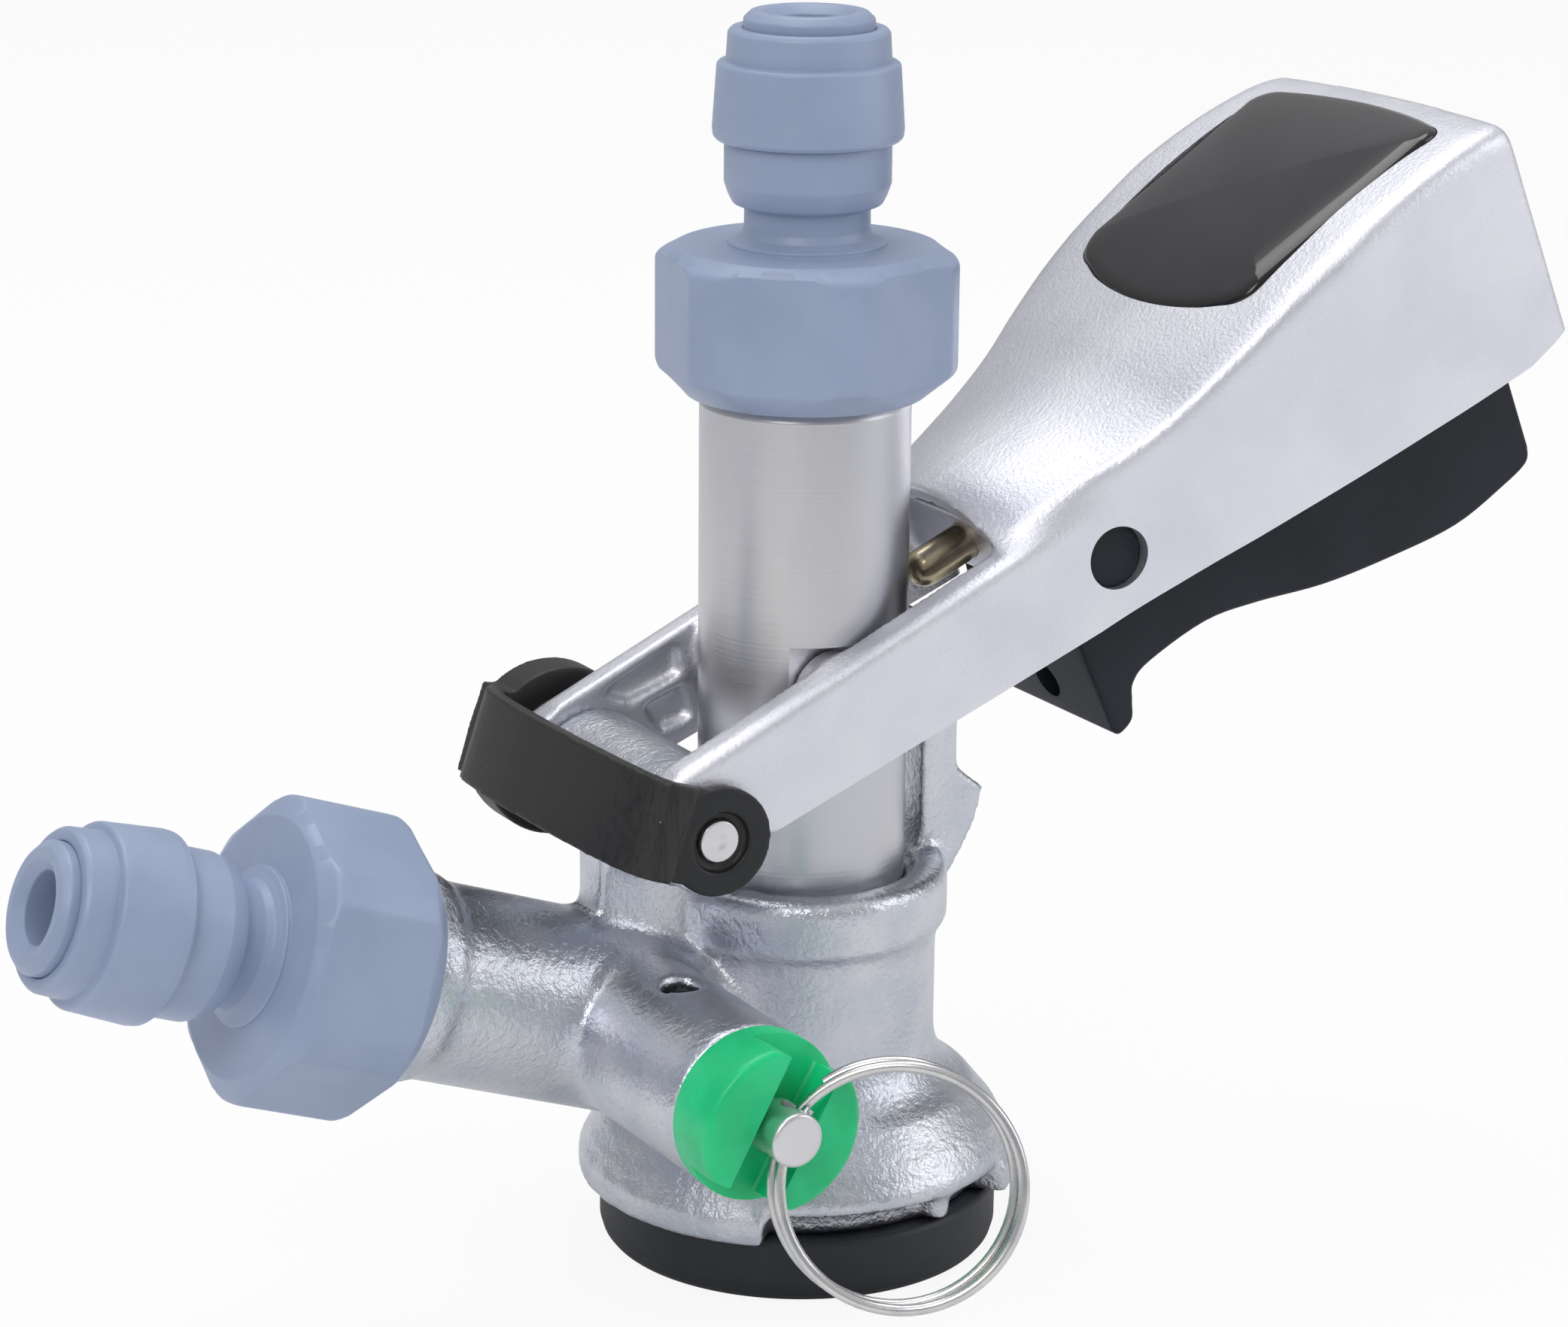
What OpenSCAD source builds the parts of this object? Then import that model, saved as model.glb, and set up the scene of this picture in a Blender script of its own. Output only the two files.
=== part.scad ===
// Keg coupler: a body that locks on the keg valve, a probe that a forked lever
// drives down, a relief valve at the front and push-in tube fittings on top and side.
// The probe's axis is Z, the keg valve seats at z = 0, the grip points to +X.

/* [Probe] */
// Outside diameter of the probe tube
tube_d = 24; // [23.8:0.1:24.4]
// Bore of the probe above the ball seat
probe_bore_d = 14; // [13:0.5:15]
// Bore of the probe below the ball seat
seat_bore_d = 9; // [8:0.5:10]
// Diameter of the probe's narrow foot
foot_d = 16; // [15:0.5:16.5]
// Height of the shoulder between foot and tube
foot_top = 27; // [25:0.5:29]
// Height of the shoulder below the thread
tube_top = 101.3; // [100.8:0.1:101.4]
// Distance between the two flats that the lever's cams work on
cam_flat_gap = 19; // [18.6:0.1:19.4]
// Height of the cam flats
cam_flat_h = 10.9; // [10.8:0.1:11.4]
// Diameter over the connection thread
thread_d = 22.9; // [22.5:0.1:23]
// Length of the connection thread
thread_l = 9.4; // [8:0.2:10]

/* [Body] */
// Diameter of the body's barrel
barrel_d = 31.6; // [31:0.2:33]
// Diameter of the collar at the top of the body
collar_d = 34.2; // [33.8:0.2:36]
// Height of the collar's top
body_top = 46.1; // [45.5:0.1:47]
// Height of the collar
collar_h = 7.1; // [6:0.2:8]
// Diameter over the locking lugs
lug_d = 51.8; // [51:0.2:53]
// Height of the lugs' underside
lug_z = 7.8; // [7.4:0.1:8.4]
// Thickness of a locking lug
lug_h = 3.4; // [3:0.2:4]
// Angle that each lug covers
lug_span = 102; // [90:1:110]
// Diameter of the gas chamber round the probe's foot
chamber_d = 26.4; // [26:0.2:27]
// Diameter of the keg seal
seal_d = 46.8; // [45:0.2:47.6]
// Hole in the keg seal
seal_hole_d = 19; // [18:0.5:20]
// Diameter of the stop pin in the gap between the lugs
stop_d = 3; // [2.4:0.2:3.6]

/* [Gas arm] */
// Rise of the gas arm above level
arm_tilt = 19.7; // [17:0.1:22]
// Height where the gas arm's axis meets the probe's axis
arm_z = 22.3; // [22:0.1:22.8]
// Diameter of the gas arm
arm_d = 22.4; // [21.6:0.2:23]
// Diameter of the ring at the arm's end
arm_ring_d = 24; // [23.6:0.2:25]
// Distance from the probe's axis to the face that the side fitting meets
arm_l = 56.4; // [55:0.2:58]
// Bore of the gas arm
arm_bore_d = 7; // [6:0.5:7.5]

/* [Relief valve] */
// Distance of the relief port's axis from the probe's axis
port_x = 25.5; // [25:0.1:26]
// Diameter of the relief port
port_d = 19; // [18.6:0.2:19.6]
// Distance of the port's mouth from the middle plane
port_l = 33; // [32:0.2:34]
// Diameter of the vent hole on top of the port
vent_d = 4.5; // [4:0.1:5]
// Diameter of the plug's barrel inside the port
plug_d = 15; // [14.6:0.1:15.2]
// Thickness of the plug's disc
plug_disc_h = 2.6; // [2:0.1:3]
// Height of the plug's two lobes above its disc
lobe_h = 5.2; // [4.6:0.1:5.4]
// Width of the slot between the lobes
lobe_slot = 6.8; // [6.6:0.1:7.2]
// Lean of that slot from upright
lobe_lean = 29; // [20:1:40]
// Diameter of the relief stem's head
stem_head_d = 6.1; // [6:0.1:6.2]
// Travel of the relief stem
relief_travel = 3; // [2.5:0.1:3.2]
// Outer diameter of the pull ring
ring_d = 28.2; // [27:0.2:29]
// Thickness of the pull ring's wire
ring_wire_d = 2.2; // [2:0.1:2.3]

/* [Lever] */
// Distance of the lever's pivot from the probe's axis
pivot_x = 21; // [20.8:0.1:21.2]
// Height of the lever's pivot
pivot_z = 56.7; // [56.5:0.1:56.9]
// Angle of the lever above level when the probe is up
lever_rise = 24.5; // [24:0.1:25]
// Turn of the lever from up to latched
lever_turn = 28.5; // [27:0.5:29]
// Width over the two lever arms
fork_w = 34; // [33.6:0.1:34.4]
// Thickness of a lever arm
fork_t = 4.3; // [4.1:0.1:4.4]
// Height of a lever arm
fork_h = 13.6; // [13.2:0.1:14]
// Radius of the arm's round end
fork_end_r = 6.6; // [6.2:0.1:6.8]
// Length from the pivot to the end of the head
lever_l = 123; // [121:0.5:125]
// Height of the head above the lever's base line
head_h = 24.8; // [24:0.2:26]
// Greatest width of the head
head_w = 48.8; // [47:0.2:50]
// Wall of the head
head_wall = 2.4; // [2:0.1:2.6]
// Distance of the cams from the pivot
cam_l = 22.5; // [22.3:0.1:22.7]
// Diameter of a cam
cam_d = 10; // [9.8:0.1:10.1]
// Diameter of the hinge pin
pin_d = 4.8; // [4.6:0.1:5]
// Length of the badge
badge_l = 38.5; // [37:0.5:40]
// Width of the badge
badge_w = 34; // [32:0.5:35]

/* [Trigger] */
// Distance of the trigger's pivot from the lever's pivot
trigger_u = 58.4; // [58:0.1:59]
// Height of the trigger's pivot above the lever's base line
trigger_v = 1.3; // [1:0.1:1.6]
// Diameter of the trigger's pivot stubs
stub_d = 7.4; // [7:0.1:7.6]
// Width of the trigger
trigger_w = 23.6; // [23:0.2:24.4]
// Depth of the trigger below the lever's base line
trigger_h = 24.4; // [23.6:0.2:25]
// Squeeze of the trigger in degrees
trigger_turn = 7; // [5:0.5:7]
// Diameter of the latch plunger
plunger_d = 4.6; // [4.4:0.1:4.8]
// Height of the plunger above the lever's base line
plunger_v = 4.8; // [4.7:0.1:4.9]
// Travel of the plunger
plunger_travel = 6.7; // [6.5:0.1:6.8]

/* [Posts] */
// Thickness of the web under the lever's pivot
web_t = 6; // [5:0.2:7]
// Diameter of the pivot barrel
hub_d = 14.4; // [14:0.1:14.6]
// Width of the latch post
post_w = 8; // [7:0.2:8.4]

/* [Tube fittings] */
// Width across the flats of the hexagon
hex_af = 31.5; // [31:0.1:32]
// Width across the hexagon's cut corners
hex_ac = 34.4; // [34:0.1:35]
// Height of the hexagon
hex_h = 16.8; // [16:0.2:17.4]
// Diameter of the neck
neck_d = 14.1; // [13.8:0.1:14.6]
// Diameter of the cup above the neck
cup_d = 18.7; // [18.4:0.1:19]
// Diameter of the cap's collar
cap_d = 21.4; // [21:0.1:22]
// Diameter of the collet
collet_d = 14.65; // [14.4:0.05:14.8]
// Bore of the collet for the beverage tube
tube_bore_d = 8.1; // [8:0.05:8.2]
// Travel of the collet when it is pressed
collet_travel = 1.5; // [1.2:0.1:1.8]

/* [Strap] */
// Slope of the strap up toward the gas side
strap_lean = 19; // [16:1:21]
// Height of the strap's band
strap_h = 11; // [10.4:0.1:11.6]
// Thickness of the strap's band
strap_t = 2.2; // [2:0.1:2.4]
// Radius of the near ear
ear_r = 6.2; // [6:0.1:6.4]
// Hole in the near ear
ear_hole_d = 6.9; // [6.6:0.1:7]
// Diameter of the far cap
far_cap_d = 20.2; // [20:0.2:21.4]

/* [Clearances] */
// Radial gap of a turning or sliding fit
run_gap = 0.05; // [0.03:0.01:0.08]
// Gap of a seated piece that does not move
seat_gap = 0.02; // [0.01:0.01:0.05]
// Gap beside a moving piece
side_gap = 0.3; // [0.25:0.01:0.35]
// Overrun of every cut past the faces it opens
over = 1; // [0.5:0.1:2]

/* [Hidden] */
fine = 96;
small = 48;

// Body: radii and heights
neck_z = body_top - collar_h;
bell_z = lug_z + lug_h;
bell_h = 0.232 * lug_d;
gap_r = 0.83 * lug_d / 2;
seal_hub_d = 0.73 * seal_d;
seal_hub_h = 0.6 * lug_z;
chamber_z = lug_z + seal_hub_h + seat_gap;
guide_z = foot_top + 0.1 * tube_d;
wiper_d = 1.1 * tube_d;
wiper_h = 0.2 * collar_h;
// Bell outline from the lugs to the barrel: radius and height shares
bell_r_shares = [0.911, 0.901, 0.842, 0.752, 0.703, 0.455, 0.436, 0.248, 0.079, 0];
bell_z_shares = [0, 0.15, 0.2, 0.367, 0.408, 0.667, 0.69, 0.767, 0.95, 1.108];

// Probe
cam_rise = 33.3;
cam_mid = pivot_z + cam_l * sin(cam_rise);
probe_travel = cam_l * (sin(cam_rise) - sin(cam_rise - lever_turn));
cam_flat_z = cam_mid - cam_d / 2 - (cam_flat_h - cam_d) / 4;
lip_h = 0.13 * lug_z;
lip_z = 0.15 * lug_z;
tip_seal_z = lip_z + lip_h;
tip_seal_h = 0.52 * lug_z;
tip_core_d = 0.82 * foot_d;
tip_seal_d = seal_hole_d - side_gap * 2;
seat_z = foot_top + foot_d / 4;
ball_d = 0.78 * probe_bore_d;
ball_mid = seat_z + sqrt(pow(ball_d / 2, 2) - pow(seat_bore_d / 2, 2)) + run_gap;
ball_lift = 0.2 * probe_bore_d;
retainer_h = 0.12 * probe_bore_d;
retainer_z = ball_mid + ball_d / 2 + ball_lift + side_gap;
o_ring_t = 0.082 * tube_d;
o_ring_zs = [neck_z + 0.2 * collar_h, neck_z + 0.56 * collar_h];

// Side arm
arm_x = arm_l * cos(arm_tilt);
port_z = arm_z + port_x * tan(arm_tilt);
valve_pocket_d = 0.62 * thread_d;
valve_pocket_l = 0.7 * arm_d;
valve_rim_d = 0.76 * thread_d;
valve_rim_t = 0.12 * thread_l;
beak_d = 0.5 * thread_d;
ring_band_l = 0.14 * arm_ring_d;

// Relief valve: places along the port from the middle plane
seat_l = 0.455 * port_l;
relief_seal_t = 0.06 * port_l;
stem_flange_t = 0.04 * port_l;
stem_flange_d = 0.73 * plug_d;
stem_rod_d = 0.52 * stem_head_d;
plug_l = 0.27 * port_l;
pocket_l = 0.78 * plug_l;
pocket_d = 0.6 * plug_d;
head_from = port_l + plug_disc_h + 0.4 * stem_head_d;
head_to = port_l + plug_disc_h + 1.33 * stem_head_d;
ring_hole_y = port_l + plug_disc_h + 0.8 * stem_head_d;
ring_hole_d = 1.5 * ring_wire_d;
ring_r = (ring_d - ring_wire_d) / 2;
ring_lift = 34.7;
spring_wire = 0.13 * stem_head_d;
relief_spring_r = 0.59 * stem_head_d;
relief_spring_l = pocket_l + port_l - plug_l - seat_l - relief_seal_t - stem_flange_t
    - relief_travel - side_gap;

// Lever: base line through the pivot, u along it, v above it
arm_in = fork_w / 2 - fork_t;
arm_low = -0.265 * fork_h;
arm_mid_low = -0.42 * fork_h;
arm_crease = arm_low + 0.842 * fork_h;
arm_crown = arm_low + 0.897 * fork_h;
crotch_u = trigger_u - 2.96 * plunger_d;
recess_t = 0.32 * fork_t;
recess_top = [[0.2, 0.52], [0.36, 0.3], [0.66, 0.26], [0.73, 0.54]];
recess_low = [[0.4, 0.2], [0.43, -0.08], [0.63, -0.16], [0.66, 0.16]];
// Head: distance, half width and height shares at each station
head_u_shares = [0, 0.085, 0.16, 0.24, 0.32, 0.39, 0.47, 0.55, 0.63, 0.71, 0.79, 0.86, 0.94, 0.985];
ridge_w_shares = [0.53, 0.61, 0.67, 0.76, 0.83, 0.89, 0.94, 0.97, 0.99, 1, 0.99, 0.975, 0.95, 0.925];
ridge_v_shares = [0.39, 0.44, 0.48, 0.51, 0.57, 0.65, 0.74, 0.82, 0.88, 0.935, 0.97, 0.985, 0.98, 0.95];
crown_shares = [0.15, 0.13, 0.105, 0.09, 0.075, 0.06, 0.045, 0.035, 0.03, 0.025, 0.02, 0.018, 0.015, 0.012];
foot_w_shares = [0.697, 0.697, 0.7, 0.72, 0.745, 0.775, 0.8, 0.825, 0.845, 0.86, 0.875, 0.88, 0.88, 0.875];
head_low = arm_mid_low;
top_shares = [0.96, 0.86, 0.7, 0.5, 0.25, 0];
rim_bow = 0.07 * head_h;
bulkhead_u = trigger_u - 2 * plunger_d;
bulkhead_t = 0.85 * plunger_d;
bulkhead_low = plunger_v - 0.92 * plunger_d;
bulkhead_high = plunger_v + 0.74 * plunger_d;
seat_wall_u = trigger_u + 3.83 * plunger_d;
seat_plate_u = seat_wall_u + 2.73 * plunger_d;
seat_plate_t = 0.4 * plunger_d;
seat_w = 0.76 * head_w;
badge_mid = 0.811 * lever_l;
badge_top = 0.979 * head_h;
badge_t = 0.045 * head_h;
badge_r = 1.97 * badge_l;
badge_gap = 0.004 * badge_w;
badge_tilt = 9.2;
badge_corner = 0.12 * badge_w;
cam_u = cam_l * cos(cam_rise - lever_rise);
cam_v = cam_l * sin(cam_rise - lever_rise);
cam_face = cam_flat_gap / 2 + side_gap;

// Trigger outline: distance shares from its front face, depth shares
trigger_front = trigger_u - 0.81 * stub_d;
trigger_l = lever_l - trigger_front - 0.036 * lever_l;
trigger_u_shares = [0, 0.012, 0.045, 0.06, 0.075, 0.12, 0.25, 0.36, 0.5, 0.65, 0.8, 0.92, 0.985, 1];
trigger_v_shares = [0.86, 0.9, 0.87, 0.78, 0.7, 0.655, 0.645, 0.72, 0.85, 0.94, 1, 0.97, 0.93, 0.85];
trigger_wall = 0.1 * trigger_w;
cheek_v = -0.2 * trigger_h;
plunger_tip = pivot_x + tube_d / 2 + 1.7 * plunger_d;
plunger_collar_u = trigger_u - 0.35 * plunger_d;
plunger_collar_t = 0.42 * plunger_d;
plunger_collar_d = 1.57 * plunger_d;
plunger_tab_h = 3.4 * plunger_d;
plunger_stem_d = 0.62 * plunger_d;
plunger_spring_r = 0.55 * plunger_d;
plunger_spring_l = 2.1 * plunger_d;
plunger_wire = 0.16 * plunger_d;
trigger_spring_u = seat_wall_u + 1.74 * plunger_d;
trigger_spring_r = 0.16 * trigger_w;
trigger_spring_l = 0.6 * trigger_h;
trigger_wire = 0.036 * trigger_w;

// Strap, in its own leaning frame about the pivot
ear_t = 0.68 * strap_t;
ear_face = fork_w / 2 + side_gap + ear_t;
pin_from = ear_face - 0.3 * ear_t;
pin_to = fork_w / 2 + 0.28 * far_cap_d;
pin_head_d = 1.5 * pin_d;
pin_head_t = 0.42 * pin_d;
cap_face = fork_w / 2 + 0.385 * far_cap_d;
cap_back = fork_w / 2 + 0.125 * far_cap_d;
cap_neck_d = 0.63 * far_cap_d;
cap_start = fork_w / 2 + side_gap;
neck_inset = 0.05 * strap_t;
neck_shares = [[0.1, 0.6], [0.31, 0.66], [0.36, 0.57], [0.42, 0.51], [0.5, 0.49]];
strap_reach = far_cap_d;
ear_reach = 0.34 * strap_reach;
strap_x_shares = [-0.27, -0.41, -0.495, -0.54, -0.575, -0.6, -0.61, -0.575, -0.46];
strap_y_shares = [-1.11, -1.095, -0.93, -0.65, -0.3, 0.1, 0.55, 1.05, 1.3];

// Tube fitting, measured up from the face at its wide end
fit_lift = 10 * seat_gap;
thread_hole_d = thread_d + 2 * run_gap;
thread_hole_h = 0.645 * hex_h;
rim_d = 0.86 * hex_af;
hex_low = 0.18 * hex_h;
hex_high = 0.92 * hex_h;
boss_d = 0.568 * hex_af;
neck_h = 1.255 * hex_h;
cup_low = 1.285 * hex_h;
cup_mid = 1.345 * hex_h;
cup_wide = 1.42 * hex_h;
cup_high = 1.7 * hex_h;
barrel_r = 0.845 * cup_d / 2;
barrel_high = 2.08 * hex_h;
socket_r = tube_bore_d / 2 + seat_gap;
socket_low = 0.8 * hex_h;
stack_r = 0.675 * cup_d / 2;
stack_low = 1.42 * hex_h;
flow_r = 0.37 * tube_bore_d;
cap_low = cup_high + 2 * seat_gap;
cap_mid = 1.75 * hex_h;
cap_high = 2.225 * hex_h;
step_low = 2.26 * hex_h;
step_high = 2.44 * hex_h;
step_d = 0.86 * cap_d;
collet_high = 2.55 * hex_h;
collet_step = 2.27 * hex_h;
collet_low = 1.835 * hex_h;
collet_leg_d = 0.8 * collet_d;
o_ring_r = 0.63 * cup_d / 2;
small_ring_t = 0.118 * cup_d;
grab_low = stack_low + 2 * small_ring_t + 4 * seat_gap;
grab_h = 0.05 * cup_d;

function ring_half(i) = let(
    u = crotch_u + head_u_shares[i] * (lever_l - crotch_u),
    rw = ridge_w_shares[i] * head_w / 2,
    rv = ridge_v_shares[i] * head_h,
    fw = foot_w_shares[i] * head_w / 2,
    t = (arm_crease - head_low) / (rv - head_low),
    mw = max(fw, fw + (rw - fw) * t),
    cr = crown_shares[i] * head_h)
    concat([[u, fw, head_low], [u, mw, arm_crease], [u, rw + (mw - rw) * 0.12, rv + (arm_crease - rv) * 0.12]],
        [for (s = top_shares) [u, rw * s, rv + cr * (1 - s * s)]]);
function ring_in(h) = [for (p = h) [p[0], max(0, p[1] - head_wall),
    p[2] == head_low ? p[2] : p[2] > arm_crease ? p[2] - head_wall : p[2]]];
function whole(h) = let(n = len(h)) concat([for (p = h) p],
    [for (k = [n - 2:-1:0]) [h[k][0], -h[k][1], h[k][2]]]);
function bow(p, d) = [p[0] + d * (1 - pow(p[1] / (head_w / 2), 2)), p[1], p[2]];
function band(c, t) = let(n = len(c), d = [for (i = [0:n - 1])
    let(a = c[max(0, i - 1)], b = c[min(n - 1, i + 1)], l = norm(b - a)) [a[1] - b[1], b[0] - a[0]] / l])
    concat([for (i = [0:n - 1]) c[i] + d[i] * t / 2], [for (i = [n - 1:-1:0]) c[i] - d[i] * t / 2]);
function smooth(c, n) = [for (i = [0:len(c) - 2]) for (k = [0:n - (i == len(c) - 2 ? 0 : 1)])
    let(t = k / n, a = c[max(0, i - 1)], b = c[i], e = c[i + 1], f = c[min(len(c) - 1, i + 2)])
    0.5 * ((2 * b) + (e - a) * t + (2 * a - 5 * b + 4 * e - f) * t * t + (3 * b - a - 3 * e + f) * t * t * t)];
function coil_path(r, wire, l, turns) = [for (k = [0:8 * turns])
    [r * cos(45 * k), r * sin(45 * k), wire / 2 + (l - wire) * k / (8 * turns)]];
function coil_gap(c, wire) = min([for (k = [5:11]) norm(c[k] - c[0])]) - wire;

// A wire wound up Z in one unbroken tube
module coil(r, wire, l, turns) {
    c = coil_path(r, wire, l, turns);
    n = len(c);
    echo("least gap in a coil", coil_gap(c, wire));
    points = [for (i = [0:n - 1]) for (j = [0:5])
        let(a = 45 * i, w = wire / 2 * cos(60 * j), h = wire / 2 * sin(60 * j))
        [(r + w) * cos(a), (r + w) * sin(a), c[i][2] + h]];
    sides = [for (i = [0:n - 2]) for (j = [0:5]) let(k = (j + 1) % 6)
        each [[6 * i + j, 6 * i + 6 + k, 6 * i + k], [6 * i + j, 6 * i + 6 + j, 6 * i + 6 + k]]];
    ends = [for (j = [1:4]) each [[0, j, j + 1], [6 * n - 6, 6 * n - 6 + j + 1, 6 * n - 6 + j]]];
    polyhedron(points, [for (f = concat(sides, ends)) [f[2], f[1], f[0]]]);
}

module ring_solid(r_out, r_in, z, h) {
    translate([0, 0, z])
        difference() {
            cylinder(h = h, r = r_out, $fn = fine);
            translate([0, 0, -over])
                cylinder(h = h + 2 * over, r = r_in, $fn = fine);
        }
}

module torus(r, t) {
    rotate_extrude($fn = fine)
        translate([r, 0])
            circle(d = t, $fn = 24);
}

// Lays a profile of u and v on the plane y = 0 and gives it a width about y
module slab(from, to) {
    translate([0, to, 0])
        rotate([90, 0, 0])
            linear_extrude(to - from)
                children();
}

module in_lever() {
    translate([-pivot_x, 0, pivot_z])
        rotate([0, -lever_rise, 0])
            children();
}

// Side fitting and gas arm: local Z runs out along the arm
module in_arm(s) {
    translate([0, 0, arm_z])
        rotate([0, arm_tilt - 90, 0])
            translate([0, 0, s])
                children();
}

// Relief port: local Z runs out toward the front, local Y up
module in_port(l) {
    translate([-port_x, -l, port_z])
        rotate([90, 0, 0])
            children();
}

module in_top() {
    translate([0, 0, tube_top + fit_lift])
        children();
}

module in_side() {
    in_arm(arm_l + fit_lift)
        children();
}

module bell() {
    top_r = barrel_d / 2;
    span_r = lug_d / 2 - top_r;
    rotate_extrude($fn = fine)
        polygon(concat([[0, lug_z], [gap_r, lug_z], [gap_r, bell_z]],
            [for (i = [0:len(bell_r_shares) - 1])
                [top_r + bell_r_shares[i] * span_r, bell_z + bell_z_shares[i] * bell_h]],
            [[top_r, neck_z], [collar_d / 2 - collar_h / 12, neck_z], [collar_d / 2, neck_z + collar_h / 12],
             [collar_d / 2, body_top - collar_h / 6], [collar_d / 2 - collar_h / 8, body_top], [0, body_top]]));
}

module lugs() {
    difference() {
        translate([0, 0, lug_z])
            cylinder(h = lug_h, d = lug_d, $fn = fine);
        for (a = [90, -90])
            translate([0, 0, lug_z - over])
                linear_extrude(lug_h + 2 * over)
                    polygon([[0, 0], for (k = [-1, -0.5, 0, 0.5, 1])
                        lug_d * [cos(a + k * (90 - lug_span / 2)), sin(a + k * (90 - lug_span / 2))]]);
    }
}

module latch_post() {
    t = collar_d / 2;
    slab(-post_w / 2, post_w / 2)
        polygon([[0.83 * t, neck_z - 0.2 * collar_h], [0.96 * t, neck_z + 0.1 * collar_h],
            [1.128 * t, neck_z + 0.73 * collar_h], [1.263 * t, body_top + 0.3 * collar_h],
            [1.327 * t, body_top + 0.87 * collar_h], [1.117 * t, body_top + 1.27 * collar_h],
            [1.111 * t, body_top + 1.34 * collar_h], [1.111 * t, body_top + 2.15 * collar_h],
            [1.123 * t, body_top + 2.25 * collar_h], [1.398 * t, body_top + 2.56 * collar_h],
            [1.34 * t, body_top + 2.75 * collar_h], [1.193 * t, body_top + 3.2 * collar_h],
            [1.01 * t, body_top + 3.72 * collar_h], [0.93 * t, body_top + 3.92 * collar_h],
            [0.87 * t, body_top + 3.95 * collar_h], [0.83 * t, body_top + 3.87 * collar_h]]);
}

module pivot_post() {
    r = hub_d / 2;
    low = arm_z + arm_d / 4;
    slab(-web_t / 2, web_t / 2)
        polygon([[-pivot_x - 0.917 * r, pivot_z], [-pivot_x - 0.917 * r, pivot_z - 1.6 * r],
            [-pivot_x - 1.1 * r, pivot_z - 2 * r], [-pivot_x - 1.5 * r, pivot_z - 2.4 * r],
            [-pivot_x - 1.5 * r, low], [-barrel_d / 4, low], [-barrel_d / 4, neck_z],
            [-pivot_x + 0.98 * r, body_top - collar_h / 3], [-pivot_x + 0.98 * r, pivot_z]]);
    translate([-pivot_x, 0, pivot_z])
        rotate([90, 0, 0])
            cylinder(h = 2 * arm_in - 2 * side_gap, d = hub_d, center = true, $fn = small);
}

module coupler_body() {
    color("gainsboro")
        difference() {
            union() {
                bell();
                lugs();
                latch_post();
                pivot_post();
                in_arm(0)
                    cylinder(h = arm_l, d = arm_d, $fn = fine);
                in_arm(arm_l - ring_band_l)
                    cylinder(h = ring_band_l, d = arm_ring_d, $fn = fine);
                in_arm(arm_l - over)
                    cylinder(h = thread_l + over, d = thread_d, $fn = fine);
                in_port(0)
                    cylinder(h = port_l, d = port_d, $fn = fine);
                rotate([0, 0, -75])
                    translate([gap_r + stop_d / 3, 0, lug_z + stop_d / 10])
                        cylinder(h = lug_h, d = stop_d, $fn = small);
            }
            cylinder(h = body_top + over, d = tube_d + 2 * run_gap, $fn = fine);
            translate([0, 0, lug_z - over])
                cylinder(h = guide_z - lug_z + over, d = chamber_d, $fn = fine);
            translate([0, 0, lug_z - over])
                cylinder(h = chamber_z - lug_z + over, d = seal_hub_d + 2 * seat_gap, $fn = fine);
            translate([0, 0, body_top - wiper_h])
                cylinder(h = wiper_h + over, d = wiper_d, $fn = fine);
            in_arm(tube_d / 3)
                cylinder(h = arm_l + thread_l, d = arm_bore_d, $fn = small);
            in_arm(arm_l + thread_l - valve_pocket_l)
                cylinder(h = valve_pocket_l + over, d = valve_pocket_d, $fn = small);
            in_arm(arm_l + thread_l - valve_rim_t - seat_gap)
                cylinder(h = valve_rim_t + over, d = valve_rim_d + 2 * seat_gap, $fn = small);
            in_port(0)
                cylinder(h = port_l, d = stem_head_d, $fn = small);
            in_port(seat_l)
                cylinder(h = port_l - seat_l + over, d = plug_d + 2 * seat_gap, $fn = fine);
            translate([-port_x, -seat_l - 0.6 * vent_d, port_z])
                cylinder(h = port_d, d = vent_d, $fn = small);
            translate([-pivot_x, 0, pivot_z])
                rotate([90, 0, 0])
                    cylinder(h = fork_w, d = pin_d + 2 * seat_gap, center = true, $fn = small);
        }
}

module keg_seal() {
    r = seal_d / 2;
    h = lug_z - seat_gap;
    inner = seal_hole_d / 2;
    color([0.1, 0.1, 0.12])
        rotate_extrude($fn = fine)
            polygon([[inner + 0.06 * r, 0], [0.9 * r, 0], [0.96 * r, 0.05 * h], [0.985 * r, 0.14 * h],
                [r, 0.3 * h], [r, 0.92 * h], [0.985 * r, h], [seal_hub_d / 2, h],
                [seal_hub_d / 2, h + seal_hub_h], [inner, h + seal_hub_h], [inner, 0.12 * h]]);
}

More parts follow.
